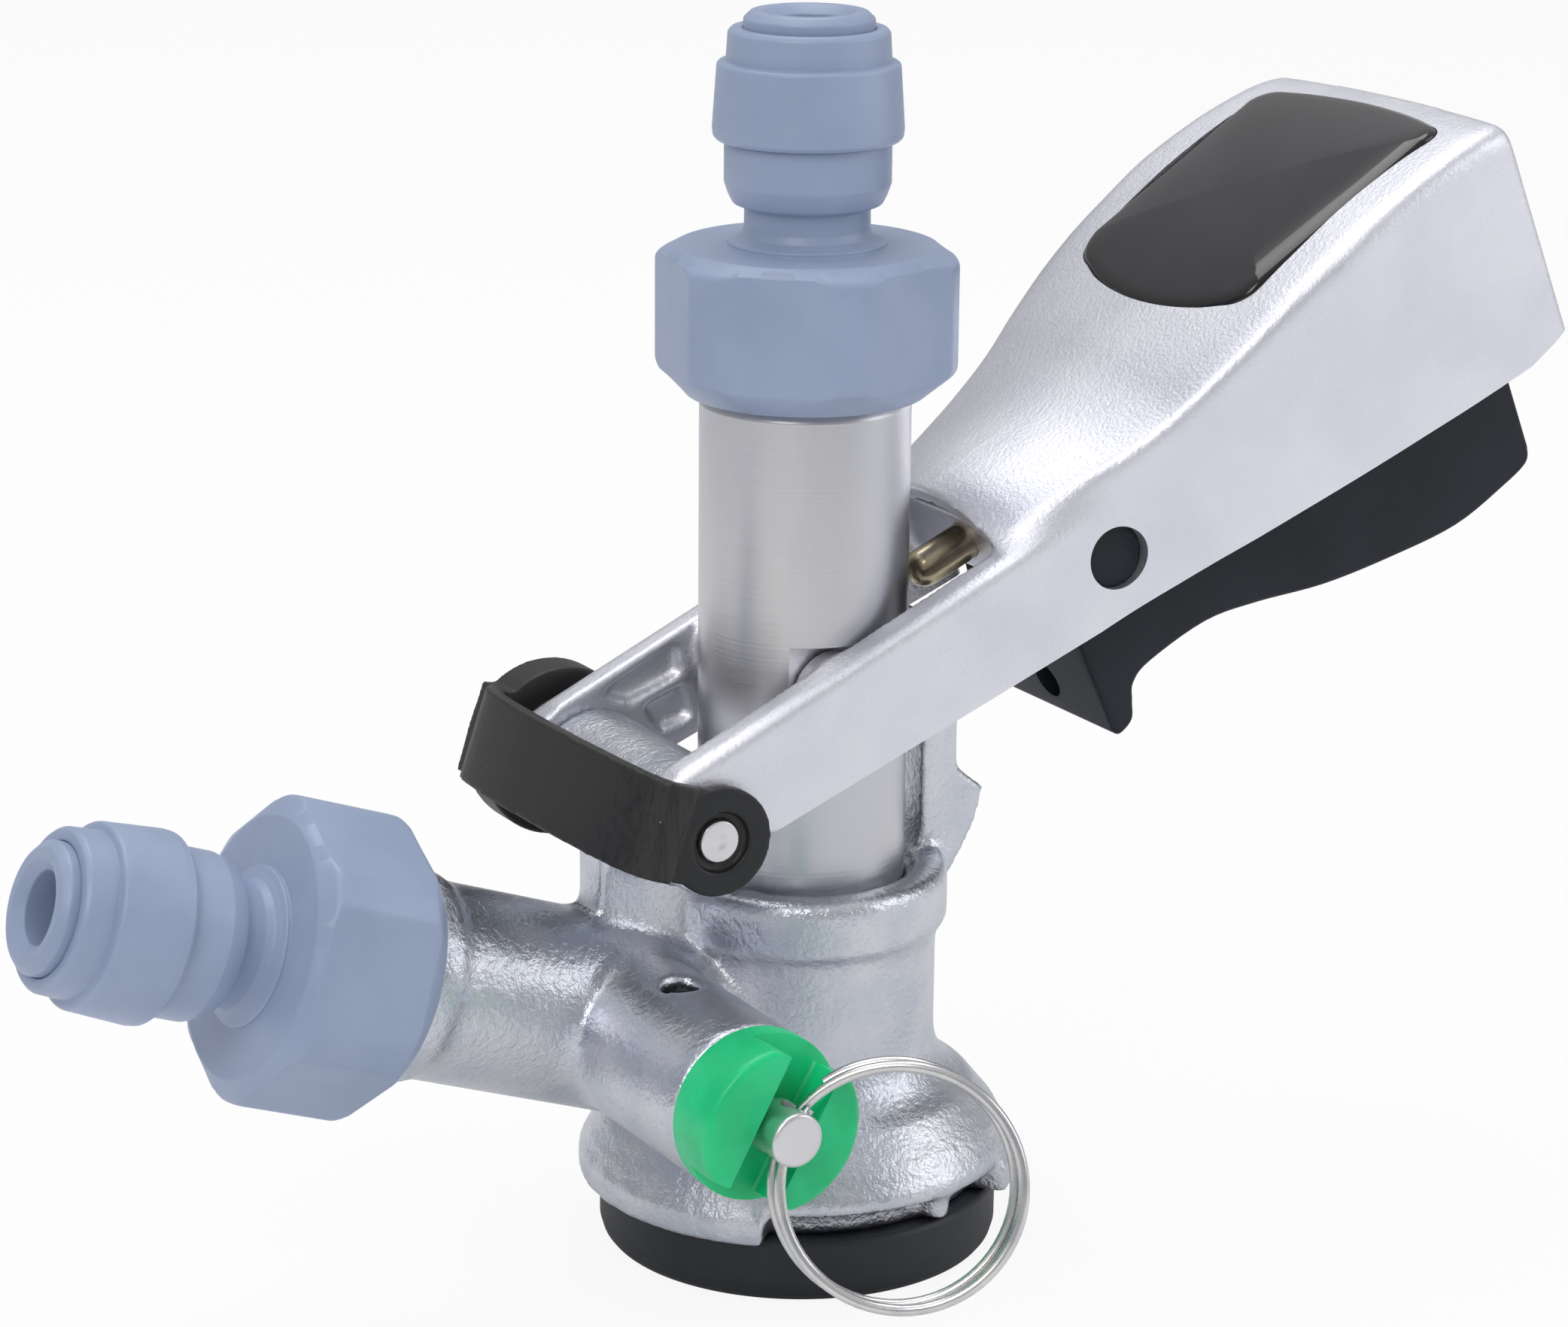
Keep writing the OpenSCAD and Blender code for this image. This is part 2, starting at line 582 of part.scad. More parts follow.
module probe_tube() {
    r = tube_d / 2;
    color("lightgray")
        difference() {
            rotate_extrude($fn = fine)
                polygon([[0, lip_z], [0.94 * tip_core_d / 2 + 0.06 * foot_d, lip_z],
                    [0.94 * tip_core_d / 2 + 0.08 * foot_d, tip_seal_z], [tip_core_d / 2, tip_seal_z],
                    [tip_core_d / 2, tip_seal_z + tip_seal_h], [foot_d / 2, tip_seal_z + tip_seal_h],
                    [foot_d / 2, foot_top - 0.12 * r], [r - 0.1 * r, foot_top], [r, foot_top + 0.1 * r],
                    [r, tube_top - 0.03 * r], [0.97 * r, tube_top], [thread_d / 2, tube_top],
                    [thread_d / 2, tube_top + 0.95 * thread_l],
                    [thread_d / 2 - 0.05 * thread_l, tube_top + thread_l], [0, tube_top + thread_l]]);
            cylinder(h = tube_top + thread_l + over, d = seat_bore_d, $fn = small);
            translate([0, 0, seat_z])
                cylinder(h = tube_top + thread_l, d = probe_bore_d, $fn = small);
            for (z = o_ring_zs)
                rotate_extrude($fn = fine)
                    translate([r - o_ring_t, z - 0.55 * o_ring_t])
                        square([o_ring_t + over, 1.1 * o_ring_t]);
            for (side = [-1, 1])
                translate([-tube_d / 2, side > 0 ? cam_flat_gap / 2 : -cam_flat_gap / 2 - tube_d, cam_flat_z])
                    cube([tube_d, tube_d, cam_flat_h]);
        }
}

module probe_seal() {
    r = tip_seal_d / 2;
    h = tip_seal_h - 2 * seat_gap;
    color([0.12, 0.12, 0.13])
        translate([0, 0, tip_seal_z + seat_gap])
            rotate_extrude($fn = fine)
                polygon([[tip_core_d / 2 + seat_gap, 0], [0.94 * r, 0], [r, 0.2 * h], [r, 0.7 * h],
                    [0.93 * r, h], [tip_core_d / 2 + seat_gap, h]]);
}

module probe_o_rings() {
    t = o_ring_t - 2 * seat_gap;
    color([0.1, 0.1, 0.1])
        for (z = o_ring_zs)
            translate([0, 0, z])
                torus(tube_d / 2 - o_ring_t / 2, t);
}

module check_ball() {
    color([0.85, 0.85, 0.87])
        translate([0, 0, ball_mid])
            sphere(d = ball_d, $fn = small);
}

module ball_retainer() {
    r = probe_bore_d / 2 - seat_gap;
    color([0.75, 0.75, 0.78]) {
        ring_solid(r, 0.8 * r, retainer_z, retainer_h);
        for (a = [0, 120, 240])
            rotate([0, 0, a])
                translate([0.35 * r, -0.14 * r, retainer_z])
                    cube([0.5 * r, 0.28 * r, retainer_h]);
    }
}

// Head of the lever: a shell open below, lofted through the stations
module head_shell() {
    n = len(head_u_shares);
    outs = [for (i = [0:n - 1]) let(h = whole(ring_half(i)))
        [for (p = h) i == 0 ? bow(p, rim_bow * (p[2] > arm_crease ? 1 : 0))
            : i == n - 1 ? bow(p, rim_bow / 2) : p]];
    ins = [for (i = [0:n - 1]) let(h = whole(ring_in(ring_half(i))))
        [for (p = h) i == 0 ? bow(p, rim_bow * (p[2] > arm_crease - head_wall ? 1 : 0))
            : i == n - 1 ? [p[0] - 0.6 * head_wall, p[1], p[2]] : p]];
    m = len(outs[0]);
    all_out = [for (r = outs) each r];
    all_in = [for (r = ins) each r];
    mid = head_h / 2;
    points = concat(all_out, all_in,
        [[outs[n - 1][0][0] + rim_bow, 0, mid], [ins[n - 1][0][0], 0, mid]]);
    q = n * m;
    cap_o = 2 * q;
    cap_i = 2 * q + 1;
    out_faces = [for (i = [0:n - 2]) for (j = [0:m - 2]) let(a = i * m + j, b = a + m)
        each [[a, a + 1, b + 1], [a, b + 1, b]]];
    in_faces = [for (i = [0:n - 2]) for (j = [0:m - 2]) let(a = q + i * m + j, b = a + m)
        each [[a, b + 1, a + 1], [a, b, b + 1]]];
    low_faces = [for (i = [0:n - 2]) let(a = i * m, b = a + m, c = a + m - 1, d = c + m)
        each [[a, b, q + b], [a, q + b, q + a], [c, q + d, d], [c, q + c, q + d]]];
    front = [for (j = [0:m - 2]) each [[j, q + j, q + j + 1], [j, q + j + 1, j + 1]]];
    e = (n - 1) * m;
    back = [for (j = [0:m - 2]) each [[e + j, e + j + 1, cap_o], [q + e + j + 1, q + e + j, cap_i]]];
    sill = [[e + m - 1, e, cap_o], [q + e, q + e + m - 1, cap_i],
        [e, e + m - 1, q + e + m - 1], [e, q + e + m - 1, q + e]];
    polyhedron(points, [for (f = concat(out_faces, in_faces, low_faces, front, back, sill)) [f[2], f[1], f[0]]]);
}

module fork_arm(side) {
    reach = bulkhead_u + bulkhead_t;
    outer = fork_w / 2;
    intersection() {
        slab(-fork_w, fork_w)
            union() {
                circle(r = fork_end_r, $fn = small);
                polygon([[0, arm_low - 0.1 * fork_h], [0.45 * fork_h, arm_low], [reach, arm_mid_low],
                    [reach, arm_crown], [0, arm_crown], [-0.23 * fork_h, 0.58 * fork_h],
                    [-0.4 * fork_h, 0.4 * fork_h], [-0.47 * fork_h, 0.1 * fork_h]]);
            }
        translate([-fork_h, 0, 0])
            rotate([90, 0, 90])
                linear_extrude(reach + fork_h)
                    polygon([[side * arm_in, -fork_h], [side * outer, -fork_h], [side * outer, arm_crease],
                        [side * (arm_in + 0.58 * fork_t), arm_crown], [side * arm_in, arm_crown]]);
    }
}

module badge_shape(grow) {
    w = badge_w / 2 + grow;
    l = badge_l / 2 + grow;
    r = badge_corner + grow;
    intersection() {
        union() {
            square([2 * l, 2 * (w - r)], center = true);
            square([2 * (l - r), 2 * w], center = true);
            for (x = [-1, 1])
                for (y = [-1, 1])
                    translate([x * (l - r), y * (w - r)])
                        circle(r = r, $fn = small);
        }
        translate([l - 2.2 * badge_w, 0])
            circle(r = 2.2 * badge_w, $fn = 180);
        translate([1.1 * badge_w - l, 0])
            circle(r = 1.1 * badge_w, $fn = 180);
    }
}

module badge_solid(grow, t_over, under) {
    intersection() {
        translate([0, 0, -badge_l / 2])
            linear_extrude(badge_l)
                badge_shape(grow);
        translate([0, 0, -badge_r])
            rotate([90, 0, 0])
                difference() {
                    cylinder(h = 2 * badge_w, r = badge_r + t_over, center = true, $fn = 360);
                    cylinder(h = 2 * badge_w + 2 * over, r = badge_r - badge_t - under, center = true, $fn = 360);
                }
    }
}

module in_badge() {
    translate([badge_mid, 0, badge_top])
        rotate([0, -badge_tilt, 0])
            children();
}

module lever_handle() {
    color([0.8, 0.8, 0.82])
        in_lever()
            difference() {
                union() {
                    head_shell();
                    for (side = [-1, 1]) {
                        fork_arm(side);
                        translate([cam_u, side * arm_in, cam_v])
                            rotate([side * 90, 0, 0])
                                translate([0, 0, -fork_t / 2])
                                    cylinder(h = arm_in - cam_face + fork_t / 2, d = cam_d, $fn = small);
                    }
                    translate([bulkhead_u, -fork_w / 2 + head_wall / 2, bulkhead_low])
                        cube([bulkhead_t, fork_w - head_wall, bulkhead_high - bulkhead_low]);
                    translate([seat_wall_u, -seat_w / 2, bulkhead_low])
                        cube([bulkhead_t / 2, seat_w, bulkhead_high - bulkhead_low]);
                    translate([seat_wall_u, -seat_w / 2, bulkhead_low])
                        cube([seat_plate_u - seat_wall_u, seat_w, seat_plate_t]);
                    translate([trigger_spring_u, 0, bulkhead_low - trigger_spring_l / 4])
                        cylinder(h = trigger_spring_l / 4 + seat_plate_t / 2,
                            r = trigger_spring_r - trigger_wire, $fn = small);
                }
                for (side = [-1, 1])
                    slab(side * arm_in - recess_t, side * arm_in + recess_t) {
                        polygon([for (p = recess_top) [p[0] * cam_l, p[1] * fork_h]]);
                        polygon([for (p = recess_low) [p[0] * cam_l, p[1] * fork_h]]);
                    }
                rotate([90, 0, 0])
                    cylinder(h = 2 * fork_w, d = pin_d + 2 * run_gap, center = true, $fn = small);
                translate([trigger_u, 0, trigger_v])
                    rotate([90, 0, 0])
                        cylinder(h = 2 * fork_w, d = stub_d + 2 * run_gap, center = true, $fn = small);
                translate([bulkhead_u - over, 0, plunger_v])
                    rotate([0, 90, 0])
                        cylinder(h = bulkhead_t + 2 * over, d = plunger_d + 2 * run_gap, $fn = small);
                in_badge()
                    badge_solid(badge_gap, badge_t * 3, seat_gap);
            }
}

module handle_badge() {
    color([0.25, 0.25, 0.27])
        in_lever()
            in_badge()
                badge_solid(0, 0, 0);
}

function trigger_at(i) = [trigger_front + trigger_u_shares[i] * trigger_l, -trigger_v_shares[i] * trigger_h];

module trigger_side() {
    low = [for (i = [0:len(trigger_u_shares) - 1]) trigger_at(i)];
    last = trigger_front + trigger_l;
    hub = 0.57 * stub_d;
    polygon(concat(low, [[last + 0.02 * trigger_h, cheek_v], [trigger_u + 1.2 * stub_d, cheek_v],
        [trigger_u + hub, trigger_v], [trigger_u - hub, trigger_v],
        [trigger_front, cheek_v * 1.85]]));
    translate([trigger_u, trigger_v])
        circle(r = hub, $fn = small);
}

// Space inside the trigger, above its floor and behind its front wall
module trigger_hollow() {
    w = trigger_wall;
    low = [for (i = [3:len(trigger_u_shares) - 2]) let(p = trigger_at(i))
        [min(max(p[0], trigger_front + w), trigger_front + trigger_l - w), p[1] + w]];
    polygon(concat(low, [[trigger_front + trigger_l - w, stub_d * 2],
        [trigger_front - trigger_wall * 2, stub_d * 2], [trigger_front - trigger_wall * 2, cheek_v * 1.85],
        [trigger_front + w, cheek_v * 1.85]]));
}

module grip_trigger() {
    color([0.16, 0.17, 0.2])
        in_lever()
            difference() {
                union() {
                    slab(-trigger_w / 2, trigger_w / 2)
                        trigger_side();
                    for (side = [-1, 1])
                        translate([trigger_u, side * (trigger_w / 2 - trigger_wall / 2), trigger_v])
                            rotate([-side * 90, 0, 0])
                                cylinder(h = fork_w / 2 - 0.3 * head_wall - trigger_w / 2 + trigger_wall / 2,
                                    d = stub_d, $fn = small);
                }
                slab(trigger_wall - trigger_w / 2, trigger_w / 2 - trigger_wall)
                    trigger_hollow();
                translate([trigger_front - over, 0, -0.7 * trigger_h])
                    rotate([0, 90, 0])
                        cylinder(h = trigger_wall + 2 * over, d = 2 * trigger_wall, $fn = small);
            }
}

module trigger_spring() {
    color("silver")
        in_lever()
            translate([trigger_spring_u, 0, bulkhead_low - trigger_spring_l - seat_gap])
                coil(trigger_spring_r, trigger_wire, trigger_spring_l, 7);
}

module latch_plunger() {
    r = plunger_d / 2;
    color([0.7, 0.64, 0.52])
        in_lever()
            translate([0, 0, plunger_v]) {
                translate([plunger_tip + r, 0, 0])
                    sphere(r = r, $fn = small);
                translate([plunger_tip + r, 0, 0])
                    rotate([0, 90, 0])
                        cylinder(h = plunger_collar_u - plunger_tip, r = r, $fn = small);
                translate([plunger_collar_u, 0, 0])
                    rotate([0, 90, 0])
                        cylinder(h = plunger_collar_t, d = plunger_collar_d, $fn = small);
                translate([plunger_collar_u, -0.65 * plunger_d, -plunger_tab_h])
                    cube([plunger_collar_t, 1.3 * plunger_d, plunger_tab_h]);
                translate([plunger_collar_u, 0, 0])
                    rotate([0, 90, 0])
                        cylinder(h = plunger_collar_t + plunger_spring_l, d = plunger_stem_d, $fn = small);
            }
}

module plunger_spring() {
    color("silver")
        in_lever()
            translate([plunger_collar_u + plunger_collar_t + run_gap * 2, 0, plunger_v])
                rotate([0, 90, 0])
                    coil(plunger_spring_r, plunger_wire, plunger_spring_l, 5);
}

module hinge_pin() {
    color([0.85, 0.85, 0.86])
        translate([-pivot_x, 0, pivot_z])
            rotate([-90, 0, 0]) {
                translate([0, 0, -pin_from])
                    cylinder(h = pin_from + pin_to, d = pin_d, $fn = small);
                translate([0, 0, pin_to - pin_head_t])
                    cylinder(h = pin_head_t, d = pin_head_d, $fn = small);
            }
}

module pin_strap() {
    path = smooth([for (i = [0:len(strap_x_shares) - 1])
        [strap_x_shares[i] * strap_reach, strap_y_shares[i] * fork_w / 2]], 5);
    color([0.2, 0.19, 0.19])
        difference() {
            union() {
                translate([-pivot_x, 0, pivot_z])
                    rotate([0, strap_lean, 0]) {
                        translate([0, 0, -strap_h / 2])
                            linear_extrude(strap_h)
                                polygon(band(path, strap_t));
                        slab(cap_back + neck_inset, cap_face - neck_inset)
                            polygon(concat([for (p = neck_shares) [-p[0] * far_cap_d, p[1] * strap_h]],
                                [for (k = [len(neck_shares) - 1:-1:0])
                                    [-neck_shares[k][0] * far_cap_d, -neck_shares[k][1] * strap_h]]));
                    }
                translate([-pivot_x, ear_t - ear_face, pivot_z])
                    rotate([90, 0, 0])
                        linear_extrude(ear_t) {
                            circle(r = ear_r, $fn = small);
                            rotate([0, 0, -strap_lean])
                                polygon([[0, -strap_h / 2], [0, strap_h / 2], [-ear_reach, strap_h / 2 - neck_inset],
                                    [-ear_reach, neck_inset - strap_h / 2]]);
                        }
                translate([-pivot_x, 0, pivot_z])
                    rotate([-90, 0, 0]) {
                        translate([0, 0, cap_start])
                            cylinder(h = cap_face - cap_start, d = cap_neck_d, $fn = small);
                        translate([0, 0, cap_back])
                            cylinder(h = cap_face - cap_back, d = far_cap_d, $fn = fine);
                    }
            }
            translate([-pivot_x, 0, pivot_z])
                rotate([90, 0, 0]) {
                    cylinder(h = fork_w, d = pin_d + 2 * seat_gap, $fn = small);
                    translate([0, 0, ear_face - 0.7 * ear_t])
                        cylinder(h = fork_w, d = ear_hole_d, $fn = small);
                }
            translate([-pivot_x, 0, pivot_z])
                rotate([-90, 0, 0]) {
                    cylinder(h = pin_to + seat_gap, d = pin_d + 2 * seat_gap, $fn = small);
                    translate([0, 0, pin_to - pin_head_t - seat_gap])
                        cylinder(h = pin_head_t + 2 * seat_gap, d = pin_head_d + 2 * seat_gap, $fn = small);
                }
        }
}

module gas_check_valve() {
    end = arm_l + thread_l;
    color([0.12, 0.12, 0.13])
        in_arm(end) {
            translate([0, 0, -valve_rim_t])
                ring_solid(valve_rim_d / 2, 0.3 * beak_d, 0, valve_rim_t);
            mirror([0, 0, 1])
                difference() {
                    intersection() {
                        cylinder(h = 0.8 * valve_pocket_l, d = beak_d, $fn = small);
                        rotate([90, 0, 0])
                            linear_extrude(beak_d, center = true)
                                polygon([[-beak_d, -over], [beak_d, -over], [beak_d / 2, 0.3 * valve_pocket_l],
                                    [0.1 * beak_d, 0.8 * valve_pocket_l], [-0.1 * beak_d, 0.8 * valve_pocket_l],
                                    [-beak_d / 2, 0.3 * valve_pocket_l]]);
                    }
                    translate([0, 0, -over])
                        cylinder(h = 0.3 * valve_pocket_l + over, d = 0.6 * beak_d, $fn = small);
                }
        }
}

module relief_plug() {
    cap_r = port_d / 2;
    color([0.1, 0.7, 0.4])
        in_port(0)
            difference() {
                union() {
                    translate([0, 0, port_l - plug_l])
                        cylinder(h = plug_l + plug_disc_h / 2, d = plug_d, $fn = fine);
                    translate([0, 0, port_l + seat_gap])
                        cylinder(h = plug_disc_h - seat_gap, r = cap_r, $fn = fine);
                    difference() {
                        translate([0, 0, port_l + plug_disc_h / 2])
                            cylinder(h = lobe_h + plug_disc_h / 2, r = cap_r, $fn = fine);
                        rotate([0, 0, -lobe_lean])
                            translate([-lobe_slot / 2, -port_d, port_l + plug_disc_h])
                                cube([lobe_slot, 2 * port_d, lobe_h + over]);
                    }
                }
                cylinder(h = 2 * port_l, d = stem_rod_d + 2 * run_gap, $fn = small);
                translate([0, 0, port_l - plug_l - over])
                    cylinder(h = pocket_l + over, d = pocket_d, $fn = small);
            }
}

module relief_stem() {
    flange_from = seat_l + seat_gap + relief_seal_t;
    color([0.8, 0.8, 0.82])
        in_port(0)
            difference() {
                union() {
                    translate([0, 0, seat_l + seat_gap])
                        cylinder(h = head_from - seat_l, d = stem_rod_d, $fn = small);
                    translate([0, 0, flange_from])
                        cylinder(h = stem_flange_t, d = stem_flange_d, $fn = small);
                    translate([0, 0, head_from])
                        cylinder(h = head_to - head_from, d = stem_head_d, $fn = small);
                }
                translate([0, 0, ring_hole_y])
                    rotate([0, 0, -lobe_lean])
                        rotate([90, 0, 0])
                            cylinder(h = 2 * stem_head_d, d = ring_hole_d, center = true, $fn = small);
            }
}

module relief_spring() {
    color("silver")
        in_port(seat_l + relief_seal_t + stem_flange_t + 2 * seat_gap)
            coil(relief_spring_r, spring_wire, relief_spring_l, 5);
}

module relief_seal() {
    color([0.12, 0.12, 0.13])
        in_port(seat_l + seat_gap)
            ring_solid(stem_flange_d / 2, stem_rod_d / 2 + seat_gap, 0, relief_seal_t - seat_gap);
}

module pull_ring() {
    color([0.8, 0.8, 0.82])
        in_port(0)
            translate([0, 0, ring_hole_y])
                rotate([0, 0, -lobe_lean])
                    rotate([0, -ring_lift, 0])
                        translate([ring_r, 0, 0])
                            torus(ring_r, ring_wire_d);
}

module fitting_body() {
    n = neck_d / 2;
    difference() {
        union() {
            intersection() {
                cylinder(h = hex_h, r = hex_af / 2 / cos(30), $fn = 6);
                rotate_extrude($fn = fine)
                    polygon([[0, 0], [rim_d / 2, 0], [hex_ac / 2, hex_low], [hex_ac / 2, hex_high],
                        [0.84 * hex_ac / 2, hex_h], [0, hex_h]]);
            }
            rotate_extrude($fn = fine)
                polygon([[0, hex_low], [boss_d / 2, hex_low], [boss_d / 2, hex_h + 0.03 * hex_h],
                    [0.95 * boss_d / 2, hex_h + 0.045 * hex_h], [n + 0.12 * n, hex_h + 0.08 * hex_h],
                    [n, hex_h + 0.15 * hex_h], [n, neck_h], [0.9 * cup_d / 2, cup_low],
                    [0.95 * cup_d / 2, cup_mid], [cup_d / 2, cup_wide], [cup_d / 2, cup_high - 0.02 * hex_h],
                    [0.97 * cup_d / 2, cup_high], [barrel_r, cup_high], [barrel_r, barrel_high],
                    [0, barrel_high]]);
        }
        translate([0, 0, -over])
            cylinder(h = thread_hole_h + over, d = thread_hole_d, $fn = fine);
        cylinder(h = barrel_high, r = flow_r, $fn = small);
        translate([0, 0, socket_low])
            cylinder(h = barrel_high, r = socket_r, $fn = small);
        translate([0, 0, stack_low])
            cylinder(h = barrel_high, r = stack_r, $fn = small);
    }
}

module fitting_cap() {
    c = cap_d / 2;
    s = step_d / 2;
    rotate_extrude($fn = fine)
        polygon([[barrel_r + seat_gap, cap_low], [0.95 * c, cap_low], [0.985 * c, cap_low + 0.02 * hex_h],
            [c, cap_mid + 0.02 * hex_h], [0.955 * c, cap_high - 0.02 * hex_h], [0.93 * c, cap_high],
            [s, cap_high], [s, step_low], [0.98 * s, step_high - 0.03 * hex_h], [0.94 * s, step_high],
            [collet_d / 2 + run_gap, step_high], [collet_d / 2 + run_gap, barrel_high + seat_gap],
            [barrel_r + seat_gap, barrel_high + seat_gap]]);
}

module fitting_collet() {
    r = collet_d / 2;
    leg = collet_leg_d / 2;
    difference() {
        rotate_extrude($fn = fine)
            polygon([[tube_bore_d / 2, collet_low], [0.96 * leg, collet_low], [leg, collet_low + 0.03 * hex_h],
                [leg, collet_step], [r, collet_step], [r, collet_high - 0.05 * hex_h],
                [0.95 * r, collet_high - 0.015 * hex_h], [0.88 * r, collet_high],
                [0.72 * r, collet_high], [tube_bore_d / 2, collet_high - 0.06 * hex_h]]);
        for (a = [0, 60, 120])
            rotate([0, 0, a])
                translate([-collet_d, -0.05 * collet_d, collet_low - over])
                    cube([2 * collet_d, 0.1 * collet_d, collet_step - collet_low - 0.05 * hex_h + over]);
    }
}

module fitting_grab() {
    teeth = 10;
    difference() {
        ring_solid(stack_r - seat_gap, tube_bore_d / 2 + run_gap, grab_low, grab_h);
        for (k = [0:teeth - 1])
            rotate([0, 0, k * 360 / teeth])
                translate([0, -0.05 * tube_bore_d, grab_low - over])
                    cube([0.9 * stack_r, 0.1 * tube_bore_d, grab_h + 2 * over]);
    }
}

module fitting_o_rings() {
    t = small_ring_t;
    for (k = [0, 1])
        translate([0, 0, stack_low + seat_gap + t / 2 + k * (t + seat_gap)])
            torus((stack_r + tube_bore_d / 2) / 2, min(t, stack_r - tube_bore_d / 2 - 2 * seat_gap));
}

module fitting_washer() {
    from = thread_l - fit_lift + seat_gap;
    ring_solid(thread_d / 2, flow_r * 1.6, from, thread_hole_h - from - seat_gap);
}

module top_fitting_body() {
    color([0.6, 0.66, 0.76])
        in_top()
            rotate([0, 0, 17.5])
                fitting_body();
}

module top_cap() {
    color([0.6, 0.66, 0.76])
        in_top()
            fitting_cap();
}

module top_collet() {
    color([0.62, 0.68, 0.78])
        in_top()
            fitting_collet();
}

module top_grab_ring() {
    color("silver")
        in_top()
            fitting_grab();
}

module top_o_rings() {
    color([0.1, 0.1, 0.1])
        in_top()
            fitting_o_rings();
}

module top_washer() {
    color([0.15, 0.15, 0.16])
        in_top()
            fitting_washer();
}

module side_fitting_body() {
    color([0.6, 0.66, 0.76])
        in_side()
            rotate([0, 0, 10])
                fitting_body();
}

module side_cap() {
    color([0.6, 0.66, 0.76])
        in_side()
            fitting_cap();
}

module side_collet() {
    color([0.62, 0.68, 0.78])
        in_side()
            fitting_collet();
}

module side_grab_ring() {
    color("silver")
        in_side()
            fitting_grab();
}

module side_o_rings() {
    color([0.1, 0.1, 0.1])
        in_side()
            fitting_o_rings();
}

module side_washer() {
    color([0.15, 0.15, 0.16])
        in_side()
            fitting_washer();
}

coupler_body();
keg_seal();
probe_tube();
probe_seal();
probe_o_rings();
check_ball();
ball_retainer();
lever_handle();
handle_badge();
grip_trigger();
trigger_spring();
latch_plunger();
plunger_spring();
hinge_pin();
pin_strap();
gas_check_valve();
relief_plug();
relief_stem();
relief_spring();
relief_seal();
pull_ring();
top_fitting_body();
top_cap();
top_collet();
top_grab_ring();
top_o_rings();
top_washer();
side_fitting_body();
side_cap();
side_collet();
side_grab_ring();
side_o_rings();
side_washer();
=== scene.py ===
import math

import bmesh
import bpy
import numpy as np
from mathutils import Matrix, Vector


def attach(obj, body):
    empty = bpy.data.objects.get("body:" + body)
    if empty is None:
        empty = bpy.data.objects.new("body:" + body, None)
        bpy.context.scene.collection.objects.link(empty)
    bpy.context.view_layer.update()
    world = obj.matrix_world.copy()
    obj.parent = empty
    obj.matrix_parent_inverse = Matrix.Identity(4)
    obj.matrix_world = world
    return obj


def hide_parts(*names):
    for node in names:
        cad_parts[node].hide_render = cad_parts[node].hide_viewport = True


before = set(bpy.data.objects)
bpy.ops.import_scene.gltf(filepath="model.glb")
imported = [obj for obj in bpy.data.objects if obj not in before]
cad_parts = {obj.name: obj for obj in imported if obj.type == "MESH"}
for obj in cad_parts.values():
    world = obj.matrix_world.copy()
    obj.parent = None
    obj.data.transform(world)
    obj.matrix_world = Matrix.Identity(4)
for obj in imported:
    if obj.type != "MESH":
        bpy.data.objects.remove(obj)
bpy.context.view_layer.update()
mm = 0.001
print("frame loaded:", len(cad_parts), "nodes")


def rotation(angle, axis):
    return Matrix.Rotation(math.radians(angle), 4, axis)


def shift(x, y, z):
    return Matrix.Translation((x, y, z))


# where the parts of the coupler stand, in millimetres and degrees
leverSizes = {"pivot": (-21.0, 0.0, 56.7), "rise": 24.5, "length": 123.0, "headHeight": 24.8,
              "headWidth": 48.8, "forkWidth": 34.0, "forkWall": 4.3, "shellWall": 2.4}
placeSettings = {"topFoot": 101.5, "armHeight": 22.3, "armRise": 19.7, "armReach": 56.6,
                 "port": (-25.5, 0, 31.43)}
noFrame = Matrix.Identity(4)
leverFrame = shift(*leverSizes["pivot"]) @ rotation(-leverSizes["rise"], "Y")
pivotFrame = shift(*leverSizes["pivot"]) @ rotation(90, "X")
topFrame = shift(0, 0, placeSettings["topFoot"])
armFrame = shift(0, 0, placeSettings["armHeight"]) @ rotation(placeSettings["armRise"] - 90, "Y")
sideFrame = armFrame @ shift(0, 0, placeSettings["armReach"])
portFrame = shift(*placeSettings["port"]) @ rotation(90, "X")


def linked(name, data):
    piece = bpy.data.objects.new(name, data)
    bpy.context.collection.objects.link(piece)
    return piece


def meshPiece(name, points, faces, place=noFrame):
    mesh = bpy.data.meshes.new(name)
    mesh.from_pydata([(place @ Vector(p)) * mm for p in points], [], faces)
    bm = bmesh.new()
    bm.from_mesh(mesh)
    bmesh.ops.remove_doubles(bm, verts=bm.verts, dist=1e-7)
    bmesh.ops.dissolve_degenerate(bm, edges=bm.edges, dist=1e-8)
    bmesh.ops.recalc_face_normals(bm, faces=bm.faces)
    bm.to_mesh(mesh)
    bm.free()
    return linked(name, mesh)


shortSide, leastTurn = 1e-6, 0.12  # corners with a shorter side or a smaller turn stay as they are


def rounded(outline, radius, closed=True, steps=4):
    # each corner of an outline becomes a small arc; a third number on a point is its own radius
    result = []
    count = len(outline)
    for i, point in enumerate(outline):
        here = Vector(point[:2])
        reach = point[2] if len(point) > 2 else radius
        before = Vector(outline[i - 1][:2]) - here
        after = Vector(outline[(i + 1) % count][:2]) - here
        short = min(before.length, after.length) < shortSide
        turn = 0 if short else math.pi - before.angle(after)
        if turn < leastTurn or reach <= 0 or (not closed and i in (0, count - 1)):
            result.append(tuple(here))
            continue
        back = min(reach * math.tan(turn / 2), 0.45 * before.length, 0.45 * after.length)
        start, end = here + before.normalized() * back, here + after.normalized() * back
        for k in range(steps + 1):
            t = k / steps
            result.append(tuple(start * (1 - t) ** 2 + here * 2 * t * (1 - t) + end * t * t))
    return result


